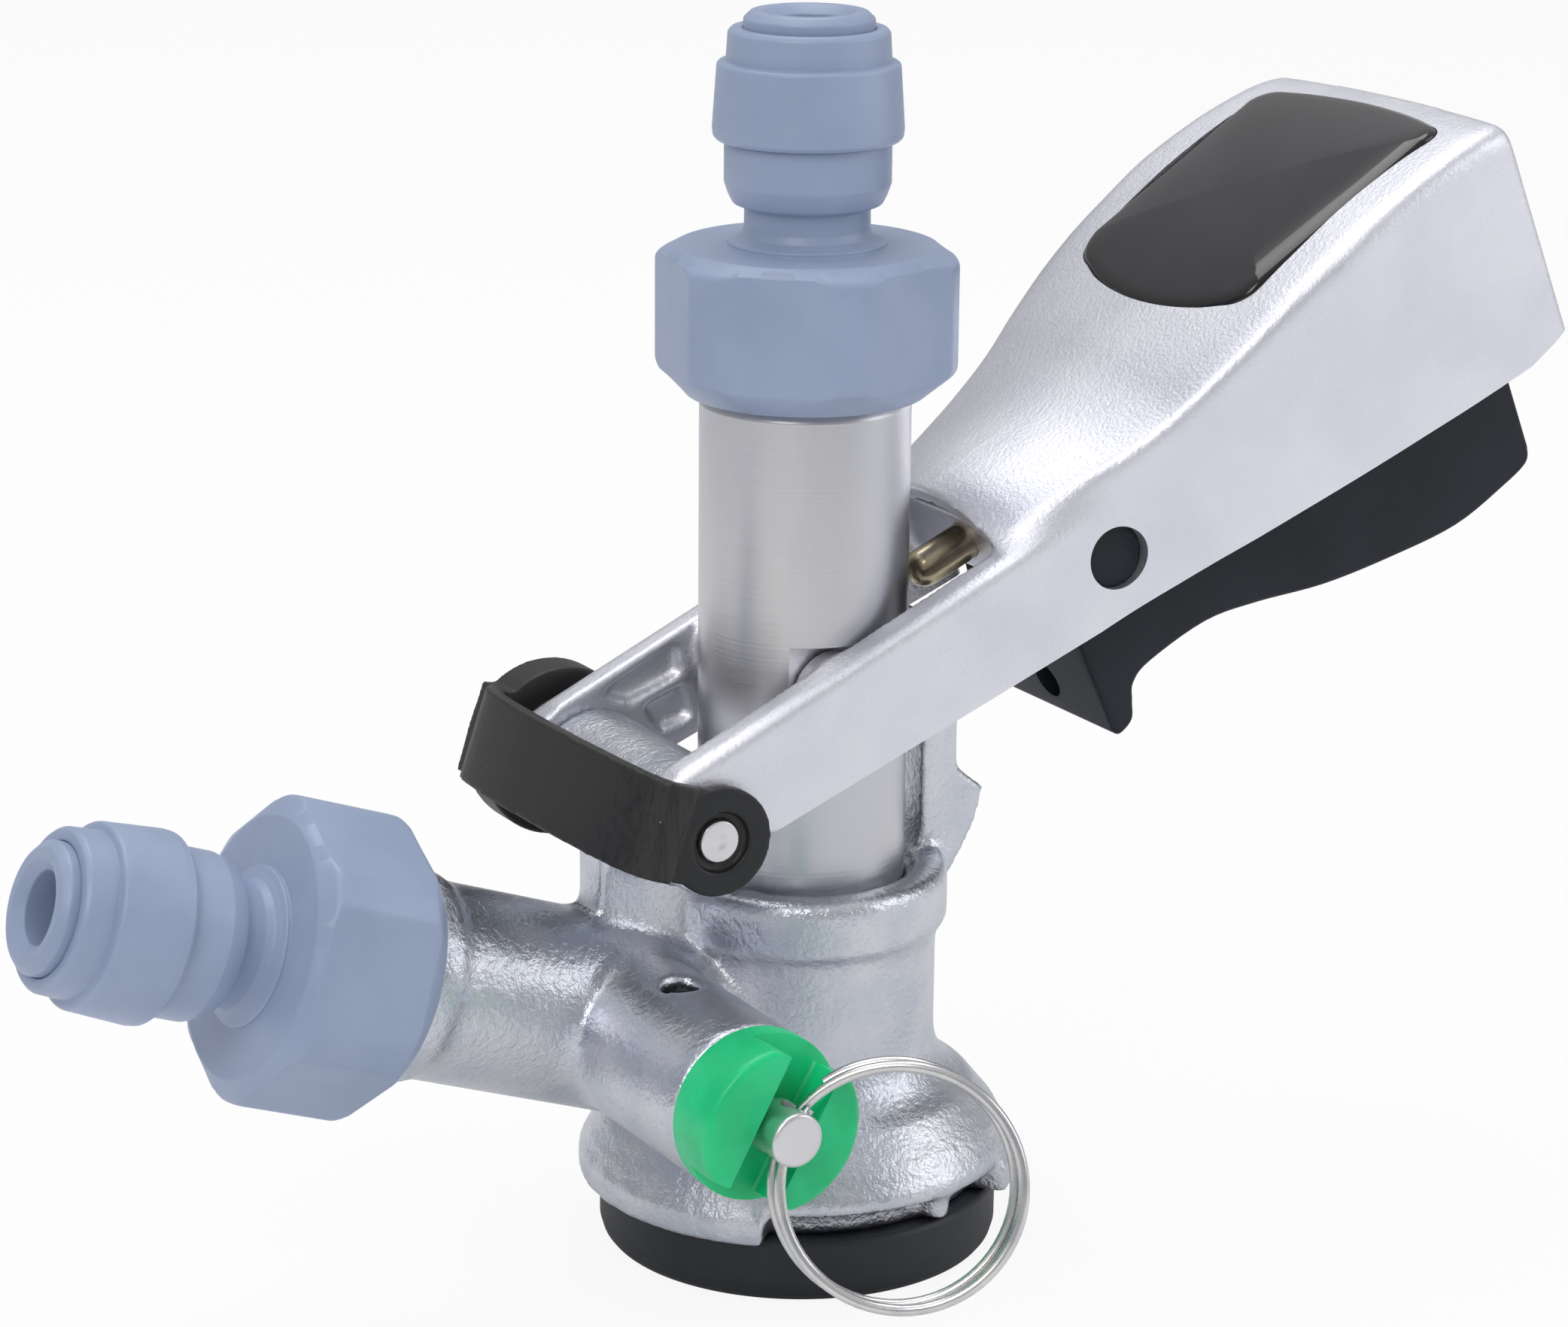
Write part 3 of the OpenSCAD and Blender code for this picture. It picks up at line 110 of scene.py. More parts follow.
def turned(name, outline, place=noFrame, radius=0.25, steps=128, closed=True, shape=None):
    # a ring section (or one that starts and ends on the axis) turned about the local Z axis
    line = rounded(outline, radius, closed)
    points, faces = [], []
    for k in range(steps):
        angle = 2 * math.pi * k / steps
        for r, z in line:
            reach = shape(r, z, angle) if shape else r
            points.append((reach * math.cos(angle), reach * math.sin(angle), z))
    count = len(line)
    for k in range(steps):
        a, b = k * count, (k + 1) % steps * count
        for i in range(count if closed else count - 1):
            j = (i + 1) % count
            faces.append((a + i, b + i, b + j, a + j))
    return meshPiece(name, points, faces, place)


def sleeve(name, points, place):
    # two matching rings of points, closed to a solid
    count = len(points) // 2
    faces = [tuple(range(count)), tuple(range(2 * count - 1, count - 1, -1))]
    faces += [(i, (i + 1) % count, (i + 1) % count + count, i + count) for i in range(count)]
    return meshPiece(name, points, faces, place)


def prism(name, outline, start, end, place=noFrame):
    # an outline of (u, v) given a width along the local Y axis
    return sleeve(name, [(u, w, v) for w in (start, end) for u, v in outline], place)


def rod(name, radius, start, end, place=noFrame, rim=0.0, steps=64):
    outline = [(0, start), (radius, start), (radius, end), (0, end)]
    return turned(name, outline, place, rim, steps, closed=False)


def block(name, low, high, place=noFrame):
    outline = [(low[0], low[2]), (high[0], low[2]), (high[0], high[2]), (low[0], high[2])]
    return prism(name, outline, low[1], high[1], place)


def settle(piece):
    # bakes a piece's modifiers into its mesh
    evaluated = piece.evaluated_get(bpy.context.evaluated_depsgraph_get())
    mesh = bpy.data.meshes.new_from_object(evaluated)
    piece.modifiers.clear()
    old = piece.data
    piece.data = mesh
    bpy.data.meshes.remove(old)
    return piece


def chamfer(piece, width, segments=3, angle=30):
    bevel = piece.modifiers.new("edge", "BEVEL")
    bevel.width = width * mm
    bevel.segments = segments
    bevel.limit_method = "ANGLE"
    bevel.angle_limit = math.radians(angle)
    bevel.miter_outer = "MITER_ARC"
    return settle(piece)


def combine(piece, tool, operation="DIFFERENCE"):
    cut = piece.modifiers.new("cut", "BOOLEAN")
    cut.operation = operation
    cut.solver = "EXACT"
    cut.object = tool
    settle(piece)
    bpy.data.objects.remove(tool)
    return piece


def joined(name, pieces):
    bm = bmesh.new()
    for piece in pieces:
        bm.from_mesh(piece.data)
        bpy.data.objects.remove(piece)
    mesh = bpy.data.meshes.new(name)
    bm.to_mesh(mesh)
    bm.free()
    return linked(name, mesh)


def cast(piece, grain):
    # closes a piece, or several that overlap, into one skin of small even faces
    remesh = piece.modifiers.new("skin", "REMESH")
    remesh.mode = "VOXEL"
    remesh.voxel_size = grain * mm
    return settle(piece)


def numbers(items, key, width, kind=float):
    values = np.empty(len(items) * width, dtype=kind)
    items.foreach_get(key, values)
    return values.reshape(-1, width)


def relax(piece, rounds, fill=False, weight=None):
    # evens a dense skin; with fill only inward corners are filled, as in a casting
    mesh = piece.data
    count = len(mesh.vertices)
    spots, normals = numbers(mesh.vertices, "co", 3), numbers(mesh.vertex_normals, "vector", 3)
    left, right = numbers(mesh.edges, "vertices", 2, np.int32).T
    degree = np.bincount(left, minlength=count) + np.bincount(right, minlength=count)
    strength = np.ones(count) if weight is None else weight(spots / mm)
    for step in range(rounds):
        move = np.empty_like(spots)
        for axis in range(3):
            total = np.bincount(left, spots[right, axis], count)
            total = total + np.bincount(right, spots[left, axis], count)
            move[:, axis] = total / np.maximum(degree, 1) - spots[:, axis]
        if fill:
            rise = np.clip((move * normals).sum(1), 0, None)
            move = normals * rise[:, None]
        spots = spots + 0.5 * move * strength[:, None]
    mesh.vertices.foreach_set("co", spots.ravel())
    mesh.update()
    return piece


def cadCopy(node, name):
    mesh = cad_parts[node].data.copy()
    mesh.materials.clear()
    bm = bmesh.new()
    bm.from_mesh(mesh)
    bmesh.ops.remove_doubles(bm, verts=bm.verts, dist=1e-6)
    bm.to_mesh(mesh)
    bm.free()
    mesh.name = name
    return linked(name, mesh)


def dress(piece, finish, body, nodes, crease=40):
    piece.data.materials.clear()
    piece.data.materials.append(finishes[finish].material)
    piece.data.shade_smooth()
    piece.data.set_sharp_from_angle(angle=math.radians(crease))
    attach(piece, body)
    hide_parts(*nodes)
    print("made", piece.name, len(piece.data.polygons), "faces")
    return piece


def paintNode(node, finish):
    source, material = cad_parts[node], finishes[finish].material
    if not source.material_slots:
        source.data.materials.append(material)
    for place in source.material_slots:
        place.material = material


def ease(low, high, value):
    t = min(max((value - low) / (high - low), 0), 1)
    return t * t * (3 - 2 * t)


def along(shares, t):
    # a smooth curve through evenly numbered shares
    t = min(max(t, 0), len(shares) - 1)
    i = min(int(t), len(shares) - 2)
    t -= i
    a, b, c, d = (shares[min(max(i + k, 0), len(shares) - 1)] for k in (-1, 0, 1, 2))
    bend = 2 * a - 5 * b + 4 * c - d
    return 0.5 * (2 * b + (c - a) * t + bend * t * t + (3 * b - a - 3 * c + d) * t ** 3)


def tint(red, green, blue):
    # 0 to 255 as seen on a screen, to the shader's linear colour
    linear = [c / 255 / 12.92 if c <= 10 else ((c / 255 + 0.055) / 1.055) ** 2.4 for c in (red, green, blue)]
    return (*linear, 1.0)


def newNode(tree, kind, settings=None, values=None):
    # settings come first, then the values or links of its sockets
    node = tree.nodes.new(kind)
    for key, value in (settings or {}).items():
        if key == "stops":
            ramp = node.color_ramp
            while len(ramp.elements) < len(value):
                ramp.elements.new(1.0)
            for stop, (place, color) in zip(ramp.elements, value):
                stop.position = place
                stop.color = color
        else:
            setattr(node, key, value)
    for key, value in (values or {}).items():
        source = value.socket if isinstance(value, Wire) else value
        if isinstance(source, bpy.types.NodeSocket):
            tree.links.new(source, node.inputs[key])
        else:
            node.inputs[key].default_value = source
    return node


class Wire:
    # a node's output that takes part in sums
    def __init__(self, finish, socket):
        self.finish = finish
        self.socket = socket

    def calc(self, operation, first, second):
        node = self.finish.node("ShaderNodeMath", {"operation": operation}, {0: first, 1: second})
        return Wire(self.finish, node.outputs[0])

    def __add__(self, other):
        return self.calc("ADD", self, other)

    __radd__ = __add__

    def __sub__(self, other):
        return self.calc("SUBTRACT", self, other)

    def __rsub__(self, other):
        return self.calc("SUBTRACT", other, self)

    def __mul__(self, other):
        return self.calc("MULTIPLY", self, other)

    __rmul__ = __mul__

    def __pow__(self, other):
        return self.calc("POWER", self, other)

    def above(self, level):
        return self.calc("GREATER_THAN", self, level)

    def between(self, low, high):
        node = self.finish.node("ShaderNodeMapRange", {"interpolation_type": "SMOOTHSTEP"},
                                {"Value": self, "From Min": low, "From Max": high})
        return Wire(self.finish, node.outputs[0])


class Finish:
    def __init__(self, name, color, roughness, metallic=0.0, **extra):
        self.material = bpy.data.materials.new(name)
        self.material.use_nodes = True
        self.tree = self.material.node_tree
        self.shader = self.tree.nodes["Principled BSDF"]
        self.material.diffuse_color = color
        fixed = {"Base_Color": color, "Roughness": roughness, "Metallic": metallic, **extra}
        for socket, value in fixed.items():
            self.shader.inputs[socket.replace("_", " ")].default_value = value
        self.spot = self.node("ShaderNodeTexCoord").outputs["Object"]

    def node(self, kind, settings=None, values=None):
        return newNode(self.tree, kind, settings, values)

    def noise(self, size, detail=2.0, stretch=None, spread=0.5):
        # soft grain whose bumps are about size millimetres apart
        place = self.spot
        if stretch:
            place = self.node("ShaderNodeMapping", None, {"Vector": place, "Scale": stretch}).outputs[0]
        values = {"Vector": place, "Scale": 1 / mm / size, "Detail": detail, "Roughness": spread}
        return Wire(self, self.node("ShaderNodeTexNoise", None, values).outputs["Fac"])

    def dots(self, size):
        values = {"Vector": self.spot, "Scale": 1 / mm / size}
        return Wire(self, self.node("ShaderNodeTexVoronoi", {"feature": "F1"}, values).outputs["Distance"])

    def axes(self):
        node = self.node("ShaderNodeSeparateXYZ", None, {0: self.spot})
        return [Wire(self, output) for output in node.outputs]

    def blend(self, amount, first, second):
        node = self.node("ShaderNodeMix", {"data_type": "RGBA"}, {0: amount, 6: first, 7: second})
        return Wire(self, node.outputs[2])

    def mottle(self, cloud, dark, light):
        return self.blend(cloud.between(0.3, 0.7), tint(*dark), tint(*light))

    def feed(self, **wires):
        for socket, wire in wires.items():
            self.tree.links.new(wire.socket, self.shader.inputs[socket.replace("_", " ")])

    def bump(self, *layers):
        # each layer is a height wire and its depth in millimetres
        normal = None
        for height, depth in layers:
            values = {"Height": height, "Strength": 1.0, "Distance": depth * mm}
            if normal:
                values["Normal"] = normal
            normal = self.node("ShaderNodeBump", None, values).outputs[0]
        self.tree.links.new(normal, self.shader.inputs["Normal"])


cameraSettings = {"spot": (-0.2433, -0.4138, 0.2094), "azimuth": -30.2, "elevation": 16.25, "roll": 0.55,
                  "lens": 100.07, "sensor": 36, "near": 0.01}


def makeCamera(settings):
    a, e, r = (math.radians(settings[key]) for key in ("azimuth", "elevation", "roll"))
    back = Vector((math.sin(a) * math.cos(e), -math.cos(a) * math.cos(e), math.sin(e)))
    right = Vector((math.cos(a), math.sin(a), 0))
    up = back.cross(right)
    tilted = right * math.cos(r) + up * math.sin(r)
    upward = up * math.cos(r) - right * math.sin(r)
    data = bpy.data.cameras.new("camera")
    data.lens = settings["lens"]
    data.sensor_width = settings["sensor"]
    data.clip_start = settings["near"]
    camera = linked("camera", data)
    axes = Matrix((tilted, upward, back)).transposed().to_4x4()
    camera.matrix_world = shift(*settings["spot"]) @ axes
    bpy.context.scene.camera = camera


studioSettings = {
    "ambient": 0.62,
    "target": (-0.01, 0.0, 0.07),
    "lamps": [
        {"name": "keyLight", "spot": (-0.75, -0.55, 0.85), "size": 0.55, "power": 4.2,
         "color": (1.0, 0.99, 0.97)},
        {"name": "fillLight", "spot": (0.75, -0.55, 0.45), "size": 0.6, "power": 1.8,
         "color": (0.97, 0.98, 1.0)},
        {"name": "topLight", "spot": (0.05, 0.25, 1.0), "size": 0.7, "power": 3.9,
         "color": (1.0, 1.0, 1.0)},
    ],
    # brightness of the room from the ground, 0, to straight above, 1
    "room": [(0.0, 0.5), (0.42, 0.62), (0.5, 0.9), (0.6, 0.55), (0.78, 0.85), (1.0, 1.0)],
    "roomTone": (1, 1.005, 1.02),
}


def makeStudio(settings):
    for lamp in settings["lamps"]:
        data = bpy.data.lights.new(lamp["name"], "AREA")
        data.size = lamp["size"]
        data.energy = lamp["power"]
        data.color = lamp["color"]
        light = linked(lamp["name"], data)
        light.location = lamp["spot"]
        aim = Vector(settings["target"]) - light.location
        light.rotation_euler = aim.to_track_quat("-Z", "Y").to_euler()

    world = bpy.data.worlds.new("studio")
    bpy.context.scene.world = world
    world.use_nodes = True
    tree = world.node_tree
    tree.nodes.clear()
    tone = settings["roomTone"]
    stops = [(place, (*(level * part for part in tone), 1)) for place, level in settings["room"]]
    spot = newNode(tree, "ShaderNodeTexCoord").outputs["Generated"]
    height = newNode(tree, "ShaderNodeSeparateXYZ", None, {0: spot}).outputs[2]
    lift = newNode(tree, "ShaderNodeMapRange", None, {"Value": height, "From Min": -1}).outputs[0]
    ramp = newNode(tree, "ShaderNodeValToRGB", {"stops": stops}, {0: lift}).outputs[0]
    room = newNode(tree, "ShaderNodeBackground", None, {"Color": ramp, "Strength": settings["ambient"]})
    white = newNode(tree, "ShaderNodeBackground", None, {"Color": (1, 1, 1, 1)})
    seen = newNode(tree, "ShaderNodeLightPath").outputs["Is Camera Ray"]
    choose = newNode(tree, "ShaderNodeMixShader", None, {0: seen, 1: room.outputs[0], 2: white.outputs[0]})
    newNode(tree, "ShaderNodeOutputWorld", None, {0: choose.outputs[0]})


floorSettings = {"half": 3000.0, "color": (0.86, 0.86, 0.87, 1), "roughness": 0.7, "glow": 0.9}


def makeFloor(settings):
    size = settings["half"]
    floor = meshPiece("floor", [(-size, -size, 0), (size, -size, 0), (size, size, 0), (-size, size, 0)],
                      [(0, 1, 2, 3)])
    finish = Finish("paleFloor", settings["color"], settings["roughness"])
    tree = finish.tree
    path = finish.node("ShaderNodeLightPath")
    glow = finish.node("ShaderNodeEmission", None, {"Color": (1, 1, 1, 1), "Strength": 1.0})
    amount = Wire(finish, path.outputs["Is Camera Ray"]) * settings["glow"]
    shaders = {0: amount, 1: finish.shader.outputs[0], 2: glow.outputs[0]}
    mixed = finish.node("ShaderNodeMixShader", None, shaders)
    tree.links.new(mixed.outputs[0], tree.nodes["Material Output"].inputs[0])
    floor.data.materials.append(finish.material)


makeCamera(cameraSettings)
makeStudio(studioSettings)
makeFloor(floorSettings)
bpy.context.scene.view_settings.view_transform = "Standard"
print("camera, light and floor made")


def platedFinish():
    # nickel plate over a tumbled casting: soft waves and a fine orange peel
    f = Finish("platedCasting", tint(216, 214, 214), 0.2, 1.0)
    cloud = f.noise(9.0, 2)
    peel = f.noise(0.7, 3, spread=0.6)
    wave = f.noise(2.6, 2)
    f.feed(Base_Color=f.blend(cloud.between(0.35, 0.65), tint(196, 201, 211), tint(212, 213, 219)),
           Roughness=0.2 + peel * 0.16 + cloud * 0.06)
    f.bump((wave, 0.15), (peel, 0.17))
    return f


def probeFinish():
    # turned stainless tube: rings left by the tool, a little brushed across
    f = Finish("turnedSteel", tint(206, 203, 200), 0.24, 1.0)
    z = f.axes()[2]
    fine = f.node("ShaderNodeTexNoise", {"noise_dimensions": "1D"}, {"W": z * 5200.0, "Detail": 3.0})
    broad = f.node("ShaderNodeTexNoise", {"noise_dimensions": "1D"}, {"W": z * 700.0, "Detail": 2.0})
    rings = Wire(f, fine.outputs["Fac"])
    bands = Wire(f, broad.outputs["Fac"])
    smudge = f.noise(14.0, 3, stretch=(1, 1, 0.35))
    f.feed(Base_Color=f.blend(smudge.between(0.35, 0.7), tint(197, 198, 203), tint(208, 206, 206)),
           Roughness=0.19 + rings * 0.1 + bands * 0.08 + smudge * 0.08)
    f.bump((rings, 0.006), (bands, 0.008))
    return f


def satinFinish():
    # satin cast alloy of the lever: fine dry grain with a faint sparkle
    f = Finish("satinAlloy", tint(224, 225, 232), 0.42, 1.0)
    grain = f.noise(0.5, 3, spread=0.65)
    cloud = f.noise(16.0, 3)
    pits = f.dots(0.9)
    f.feed(Base_Color=f.mottle(cloud, (219, 220, 228), (229, 229, 236)),
           Roughness=0.34 + grain * 0.18 + cloud * 0.05)
    f.bump((f.noise(3.2, 2), 0.006), (grain, 0.085), (pits.between(0.0, 0.22), 0.004))
    return f


def fittingFinish():
    # blue-grey acetal, satin from the mould
    f = Finish("fittingAcetal", tint(142, 156, 182), 0.36, 0.0, Subsurface_Weight=0.12,
               Subsurface_Scale=0.002, Subsurface_Radius=(0.8, 0.9, 1.2))
    cloud = f.noise(11.0, 3)
    skin = f.noise(0.45, 2)
    f.feed(Base_Color=f.mottle(cloud, (143, 157, 184), (152, 165, 192)),
           Roughness=0.31 + skin * 0.1 + cloud * 0.04)
    f.bump((f.noise(5.0, 2), 0.012), (skin, 0.005))
    return f


def greenFinish():
    f = Finish("greenPlastic", tint(20, 190, 100), 0.34, 0.0, Subsurface_Weight=0.15, Subsurface_Scale=0.002,
               Subsurface_Radius=(0.4, 1.2, 0.6))
    cloud = f.noise(6.0, 3)
    skin = f.noise(0.4, 2)
    f.feed(Base_Color=f.mottle(cloud, (3, 188, 118), (24, 206, 136)),
           Roughness=0.3 + skin * 0.1)
    f.bump((f.noise(2.4, 2), 0.012), (skin, 0.005))
    return f


def triggerFinish():
    # blue-black moulded grip with a light spark-eroded texture
    f = Finish("gripPlastic", tint(26, 30, 38), 0.55, 0.0, Specular_IOR_Level=0.32)
    grain = f.noise(0.3, 3, spread=0.6)
    cloud = f.noise(12.0, 3)
    f.feed(Base_Color=f.mottle(cloud, (18, 23, 31), (25, 30, 40)),
           Roughness=0.5 + grain * 0.14)
    f.bump((grain, 0.02), (f.noise(4.0, 2), 0.01))
    return f


def fromPivot(finish):
    # squared distance from the hinge pin's axis, in metres
    x, _, z = finish.axes()
    dx, dz = (axis - leverSizes["pivot"][i] * mm for axis, i in ((x, 0), (z, 2)))
    return dx * dx + dz * dz


strapLook = {"scuffFrom": 0.009, "scuffTo": 0.0155, "earFace": 0.01835, "earReachSquared": 0.0000395}


def strapFinish():
    # brown-black strap: upright scuffs near the ear and a few pale specks
    f = Finish("strapRubber", tint(54, 49, 49), 0.45)
    y = f.axes()[1]
    grain = f.noise(0.28, 3, spread=0.6)
    scuff = f.noise(0.5, 3, stretch=(1, 1, 0.05), spread=0.7)
    near = (0.0 - y).between(strapLook["scuffFrom"], strapLook["scuffTo"])
    speck = 1.0 - f.dots(2.4).between(0.03, 0.06)
    some = f.noise(5.0, 1).above(0.58)
    outside = fromPivot(f).above(strapLook["earReachSquared"])
    ear = (0.0 - y).above(strapLook["earFace"]) * (1.0 - outside)
    worn = f.blend(scuff.between(0.45, 0.62) * near, tint(34, 32, 33), tint(16, 17, 20))
    base = f.blend(ear, worn, tint(10, 13, 19))
    f.feed(Base_Color=f.blend(speck * some * 0.7, base, tint(150, 146, 142)),
           Roughness=0.42 + grain * 0.14)
    f.bump((grain, 0.014), (scuff * near, 0.02))
    return f


def rubberFinish():
    f = Finish("sealRubber", tint(24, 27, 34), 0.5)
    grain = f.noise(0.5, 3)
    cloud = f.noise(9.0, 3)
    f.feed(Base_Color=f.mottle(cloud, (21, 24, 31), (30, 33, 40)),
           Roughness=0.42 + grain * 0.14)
    f.bump((grain, 0.012), (f.noise(3.5, 2), 0.02))
    return f


def badgeFinish():
    # charcoal plate under clear resin; the rim attribute darkens its edge
    f = Finish("badgeResin", tint(30, 30, 34), 0.16, 0.0, Coat_Weight=0.6, Coat_Roughness=0.03,
               Specular_IOR_Level=0.3)
    rim = Wire(f, f.node("ShaderNodeAttribute", {"attribute_name": "rim"}).outputs["Fac"])
    cloud = f.noise(14.0, 2)
    speck = f.noise(0.25, 2)
    base = f.mottle(cloud, (24, 24, 28), (34, 34, 38))
    f.feed(Base_Color=f.blend(rim, base, tint(13, 13, 15)), Roughness=0.14 + speck * 0.06)
    f.bump((f.noise(7.0, 1), 0.01))
    return f


def wireFinish():
    # drawn and polished steel wire
    f = Finish("drawnSteel", tint(208, 208, 210), 0.16, 1.0)
    scratch = f.noise(0.3, 3)
    cloud = f.noise(5.0, 2)
    f.feed(Base_Color=f.mottle(cloud, (198, 199, 203), (219, 217, 215)),
           Roughness=0.2 + scratch * 0.12)
    f.bump((scratch, 0.0015))
    return f


def pinFinish():
    # end of the hinge pin: satin, with the round mark of the centre drill
    f = Finish("pinSteel", tint(216, 216, 218), 0.34, 1.0)
    reach = fromPivot(f) ** 0.5
    circles = f.node("ShaderNodeTexNoise", {"noise_dimensions": "1D"}, {"W": reach * 6000.0, "Detail": 2.0})
    rings = Wire(f, circles.outputs["Fac"])
    f.feed(Roughness=0.26 + rings * 0.14)
    f.bump((rings, 0.006), (f.noise(0.4, 3), 0.006))
    return f


def brassFinish():
    f = Finish("plungerBrass", tint(178, 164, 138), 0.25, 1.0)
    cloud = f.noise(2.5, 3)
    f.feed(Base_Color=f.mottle(cloud, (166, 152, 126), (190, 178, 152)),
           Roughness=0.18 + cloud * 0.14)
    f.bump((f.noise(0.3, 3), 0.006))
    return f


finishes = {
    "plated": platedFinish(), "probe": probeFinish(), "satin": satinFinish(), "fitting": fittingFinish(),
    "green": greenFinish(), "grip": triggerFinish(), "strap": strapFinish(), "rubber": rubberFinish(),
    "badge": badgeFinish(), "wire": wireFinish(), "pin": pinFinish(), "brass": brassFinish(),
}
print("finishes made:", len(finishes))


bodySettings = {"grain": 0.55, "fillRounds": 26, "smoothRounds": 4, "boreReach": 13.4, "portReach": 7.9,
                "portMouth": -12, "underHeight": 13, "underReach": 21}


def outsideOfBody(spots):
    # bores keep their size, the outer skin may move
    x, y, z = spots.T
    across = np.hypot(x, y)
    portX, _, portZ = placeSettings["port"]
    fromPort = np.hypot(x - portX, z - portZ)
    bore = across < bodySettings["boreReach"]
    port = (fromPort < bodySettings["portReach"]) & (y < bodySettings["portMouth"])
    underside = (z < bodySettings["underHeight"]) & (across < bodySettings["underReach"])
    return 1.0 - 1.0 * (bore | port | underside)


def makeBody(sizes):
    piece = cast(cadCopy("coupler_body", "castBody"), sizes["grain"])
    relax(piece, sizes["fillRounds"], fill=True, weight=outsideOfBody)
    relax(piece, sizes["smoothRounds"], weight=outsideOfBody)
    dress(piece, "plated", "coupler", ["coupler_body"], crease=70)


makeBody(bodySettings)


# sections are lists of radius, height and, where it differs, the corner's own radius
sealSettings = {
    "corner": 0.5,
    "section": [(10.9, 0), (21.1, 0), (22.5, 0.4), (23.05, 1.1), (23.4, 2.3), (23.4, 7.2), (23.05, 7.76),
                (17.06, 7.76), (17.06, 12.44), (9.5, 12.44), (9.5, 0.95)],
}


def makeSeal(sizes):
    piece = turned("kegSeal", sizes["section"], radius=sizes["corner"], steps=160)
    dress(piece, "rubber", "coupler", ["keg_seal"])


probeSettings = {
    "radius": 12.0, "corner": 0.3, "flatHalf": 9.5, "flatLow": 63.83, "flatHigh": 74.73,
    "cutHalf": 14, "cutReach": 20,
    "foot": [(4.5, 1.17), (7.13, 1.17), (7.45, 2.18), (6.56, 2.18), (6.56, 6.24), (8, 6.24), (8, 25.56),
             (10.8, 27)],
    "footTop": 28.2, "grooves": (40.42, 42.98), "grooveHalf": 1.08, "grooveRadius": 10.04,
    "grooveCorner": 0.1, "top": 100.4, "topCorner": 0.6,
    "head": [(11.6, 101.3, 0.1), (11.45, 101.3, 0.1), (11.45, 110.2), (11.0, 110.7), (7, 110.7), (7, 31),
             (4.5, 31)],
}


def makeProbe(sizes):
    r, half = sizes["radius"], sizes["grooveHalf"]
    inner, corner = sizes["grooveRadius"], sizes["grooveCorner"]
    section = sizes["foot"] + [(r, sizes["footTop"])]
    for z in sizes["grooves"]:
        section += [(r, z - half, corner), (inner, z - half, corner), (inner, z + half, corner),
                    (r, z + half, corner)]
    section += [(r, sizes["top"], sizes["topCorner"])] + sizes["head"]
    piece = turned("probeTube", section, radius=sizes["corner"], steps=192)
    across, reach = sizes["cutHalf"], sizes["cutReach"]
    for start, end in ((-reach, -sizes["flatHalf"]), (sizes["flatHalf"], reach)):
        cut = block("flatCut", (-across, start, sizes["flatLow"]), (across, end, sizes["flatHigh"]))
        combine(piece, cut)
    dress(piece, "probe", "probe", ["probe_tube"], crease=25)


pinSettings = {
    "section": [(0, 18.1), (0.7, 18.3, 0.05), (1.0, 18.35, 0.1), (2.4, 18.35, 0.25), (2.4, -20.6, 0.1),
                (3.6, -20.6, 0.2), (3.6, -22.6, 0.3), (0, -22.6)],
}


def makePin(sizes):
    piece = turned("hingePin", sizes["section"], pivotFrame, steps=64, closed=False)
    dress(piece, "pin", "coupler", ["hinge_pin"])


makeSeal(sealSettings)
makeProbe(probeSettings)
makePin(pinSettings)


# shares of the head's length, width and height from the fork's crotch to the end
headShares = {
    "place": [0, 0.085, 0.16, 0.24, 0.32, 0.39, 0.47, 0.55, 0.63, 0.71, 0.79, 0.86, 0.94, 0.985],
    "ridgeWidth": [0.53, 0.61, 0.67, 0.76, 0.83, 0.89, 0.94, 0.97, 0.99, 1, 0.99, 0.975, 0.95, 0.925],
    "ridgeHeight": [0.39, 0.44, 0.48, 0.51, 0.57, 0.65, 0.74, 0.82, 0.88, 0.935, 0.97, 0.985, 0.98, 0.95],
    "crown": [0.15, 0.13, 0.105, 0.09, 0.075, 0.06, 0.045, 0.035, 0.03, 0.025, 0.02, 0.018, 0.015, 0.012],
    "footWidth": [0.697, 0.697, 0.7, 0.72, 0.745, 0.775, 0.8, 0.825, 0.845, 0.86, 0.875, 0.88, 0.88, 0.875],
}
headSettings = {
    "crotch": 0.364, "bow": 0.07, "bowLow": 5.5, "bowHigh": 8.5, "bowStations": 4, "endStations": 8,
    "stations": 66, "ringPoints": 40, "low": -7.0, "crease": 7.85, "creaseRound": 1.5, "ridgeRound": 4.2,
    # the end closes in rings: size of the ring and how far it stands out
    "endRings": [(0.985, 0.9), (0.94, 1.35), (0.75, 1.7), (0.5, 1.9), (0.25, 2.0), (0.0, 2.0)],
    "endPush": 0.55,
}
